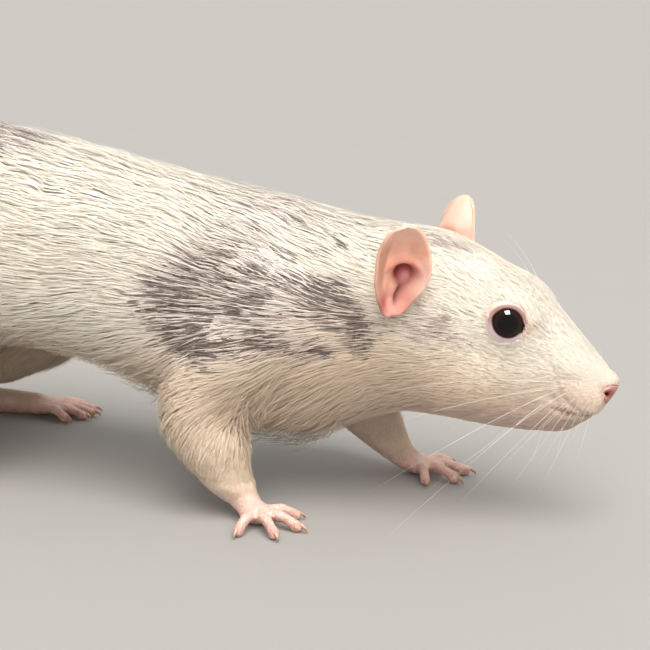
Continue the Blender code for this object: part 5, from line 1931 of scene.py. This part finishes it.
@dataclass
class Studio(Part):
    """Floor, soft light and the camera."""

    azimuth: float = 20.0  # the camera's turn towards the rat's front, in degrees
    pitch: float = 13.0  # how far it looks down
    distance: float = 300.0  # from the aim, in millimetres
    aim_height: float = 34.5  # the aim over the floor, at the shoulders
    focal_pixels: float = 1500.0  # the focal length in pixels of a frame 650 wide
    frame_pixels: float = 650.0
    sensor: float = 36.0  # the width of the camera's sensor, in millimetres
    eye_lamp: Point = (74.0, -66.0, 640.0)
    eye_lamp_size: float = 0.27
    eye_lamp_power: float = 17.0

    def camera(self) -> None:
        """Sets the camera at the photo's viewing angle."""
        a, e = math.radians(self.azimuth), math.radians(self.pitch)
        forward = Vector((-math.sin(a) * math.cos(e), math.cos(a) * math.cos(e), -math.sin(e)))
        aim = self.anatomy.place((0.0, 0.0, self.aim_height))
        lens = bpy.data.cameras.new("camera")
        lens.sensor_width = self.sensor
        lens.lens = self.focal_pixels / self.frame_pixels * self.sensor
        lens.clip_start = 0.01
        placed = MeshKit.hang("camera", lens)
        placed.location = aim - forward * self.distance * MM
        placed.rotation_euler = forward.to_track_quat("-Z", "Y").to_euler()
        bpy.context.scene.camera = placed

    def floor(self) -> None:
        """Lays a level floor that reaches out of sight."""
        rings, sides, reach = 40, 72, 9.0
        work = bmesh.new()
        middle = work.verts.new((0.0, 0.0, 0.0))
        last = []
        for i in range(1, rings + 1):
            radius = reach * (i / rings) ** 2.0
            ring = [work.verts.new(level_way(360.0 * j / sides) * radius) for j in range(sides)]
            if last:
                MeshKit.bridge(work, ring, last)
            else:
                for j in range(sides):
                    work.faces.new((middle, ring[j], ring[(j + 1) % sides]))
            last = ring
        floor = MeshKit.from_bmesh("floor", work)
        floor.data.materials.append(FloorFinish().make())

    def _sun(self, name: str, way: Point, softness: float, strength: float, tone: Colour) -> None:
        """Adds an even, wide light that casts soft shadows and leaves no mirror image.

        Args:
            name: Its name.
            way: The direction that it comes from.
            softness: How wide it looks, in degrees.
            strength: Its strength.
            tone: Its colour.
        """
        light = bpy.data.lights.new(name, "SUN")
        light.angle = math.radians(softness)
        light.energy = strength
        light.color = tone
        lamp = MeshKit.hang(name, light)
        lamp.rotation_euler = (-Vector(way)).to_track_quat("-Z", "Y").to_euler()
        lamp.visible_glossy = False

    def _eye_light(self) -> None:
        """Hangs a square lamp over the head, which only gloss shows."""
        light = bpy.data.lights.new("eye_light", "AREA")
        light.size = self.eye_lamp_size
        light.energy = self.eye_lamp_power
        light.color = (1.0, 0.98, 0.95)
        lamp = MeshKit.hang("eye_light", light)
        lamp.location = self.anatomy.place(self.eye_lamp)
        aim = self.anatomy.place((39.0, -8.0, 40.0))
        lamp.rotation_euler = (aim - lamp.location).to_track_quat("-Z", "Y").to_euler()
        lamp.visible_diffuse = False

    def light(self) -> None:
        """Sets the soft studio light."""
        self._sun("key", (0.34, -0.43, 0.84), 60.0, 3.6, (1.0, 0.958, 0.89))
        self._sun("back", (-0.35, 0.60, 0.60), 70.0, 0.60, (1.0, 0.97, 0.93))
        self._eye_light()
        world = bpy.data.worlds.new("soft_sky")
        world.use_nodes = True
        sky = world.node_tree.nodes["Background"]
        sky.inputs["Color"].default_value = (1.0, 0.965, 0.91, 1.0)
        sky.inputs["Strength"].default_value = 0.62
        bpy.context.scene.world = world
        bpy.context.scene.view_settings.view_transform = "Standard"


FORE_DIGITS = ((-62.0, 4.8), (-19.0, 7.2), (16.0, 7.4), (62.0, 5.4))
HIND_DIGITS = ((-27.0, 6.2), (-10.0, 9.2), (0.0, 10.0), (10.0, 9.4), (29.0, 6.4))


def forepaw(side: Side, above: Point, wrist: Point, heading: float) -> FootPlan:
    """Plans a forepaw below its wrist.

    Args:
        side: The side of the body.
        above: A point of the forearm above the wrist.
        wrist: The wrist's middle.
        heading: The way the paw points, in degrees from X.

    Returns:
        The plan.
    """
    along = level_way(heading)
    top = Vector(wrist).lerp(Vector(above), 0.9)
    ball = Vector((wrist[0], wrist[1], 0.0)) + along * 5.0
    inner = ball - along * 1.5
    route = ((tuple(top), 3.5), (wrist, 3.0), ((inner.x, inner.y, 2.4), 2.4))
    return FootPlan(side, Foot.FORE, route, (ball.x, ball.y), heading, FORE_DIGITS, (4.2, 3.7, 2.3))


def hind_foot(side: Side, above: Point, ankle: Point) -> FootPlan:
    """Plans a hind foot below its ankle.

    Args:
        side: The side of the body.
        above: A point of the leg above the ankle.
        ankle: The ankle's middle.

    Returns:
        The plan.
    """
    heading = 9.0 * side.value
    along = level_way(heading)
    top = Vector(ankle).lerp(Vector(above), 0.5)
    heel = Vector((ankle[0] - 2.4, ankle[1], 0.0))
    ball = heel + along * 25.0
    route = [(tuple(top), 4.1), (ankle, 3.9)]
    for reach, height, radius in ((1.2, 3.8, 3.6), (6.5, 3.0, 3.15), (15.0, 2.8, 2.95), (24.0, 2.5, 2.6)):
        place = heel + along * reach
        route.append(((place.x, place.y, height), radius))
    return FootPlan(side, Foot.HIND, tuple(route), (ball.x, ball.y), heading, HIND_DIGITS, (5.0, 4.4, 2.5))


def all_feet() -> list[FootPlan]:
    """The four feet, with the left hind foot a step behind the right one."""
    step = 5.0
    return [
        forepaw(Side.RIGHT, (-12.6, -20.2, 8.6), (-10.0, -20.4, 4.6), -31.0),
        forepaw(Side.LEFT, (7.6, 16.6, 8.6), (10.4, 16.4, 4.6), -4.0),
        hind_foot(Side.RIGHT, (-95.5, -23.8, 11.4), (-101.0, -24.0, 7.8)),
        hind_foot(Side.LEFT, (-95.5 - step * 0.6, 23.8, 11.4), (-101.0 - step * 0.8, 24.0, 7.8)),
    ]


def main() -> None:
    """Builds the rat piece by piece and sets it in the studio."""
    logging.basicConfig(level=logging.INFO, format="%(message)s")
    skin_finish = FurredSkinFinish("living_skin", "paw_skin")
    nose_finish = SkinFinish("bare_nose_skin", "nose_skin", roughness=0.42, crease=0.08, crease_scale=3200.0)
    ear_finish = SkinFinish("thin_ear_skin", "ear_skin", crease=0.05, glow=0.22, glow_depth=0.35)
    tail_finish = SkinFinish("ringed_tail_skin", "tail_skin", crease=0.05, glow=0.12)
    lid_finish = SkinFinish("lid_skin", "nose_skin", roughness=0.35, crease=0.03, glow=0.1, glow_depth=0.2)
    whisker_finish = SkinFinish("whisker_hair", "whisker", roughness=0.4, crease=0.0, glow=0.0)
    eye_finish = GlossFinish("wet_eye", "eye_black", roughness=0.035, shine=0.22, varnish=0.0)
    claw_finish = GlossFinish("claw_horn", "paw_skin", roughness=0.3, varnish=0.3, glow=0.2, mottle=0.15)
    cream_finish = CoatFinish("cream_coat", "coat_cream")
    grey_finish = CoatFinish("grey_coat", "coat_grey")
    anatomy = Anatomy()
    markings = Markings()
    lie = Lie()
    feet = all_feet()
    skin = Skin(anatomy, markings, lie, feet).make(skin_finish)
    for foot in feet:
        register(foot.claws(anatomy), claw_finish)
    Tail(anatomy).make(tail_finish)
    Nose(anatomy, lie).make(skin, nose_finish)
    for side in Side:
        Ear(anatomy, side).make(ear_finish)
        eye = Eye(anatomy, side)
        eye.ball(eye_finish)
        eye.lids(lid_finish)
        Whiskers(anatomy).make(skin, side, whisker_finish)
    Coat(anatomy, markings, lie).make(Ground(skin, anatomy), cream_finish, grey_finish)
    studio = Studio(anatomy)
    studio.floor()
    studio.light()
    studio.camera()


if __name__ == "__main__":
    main()
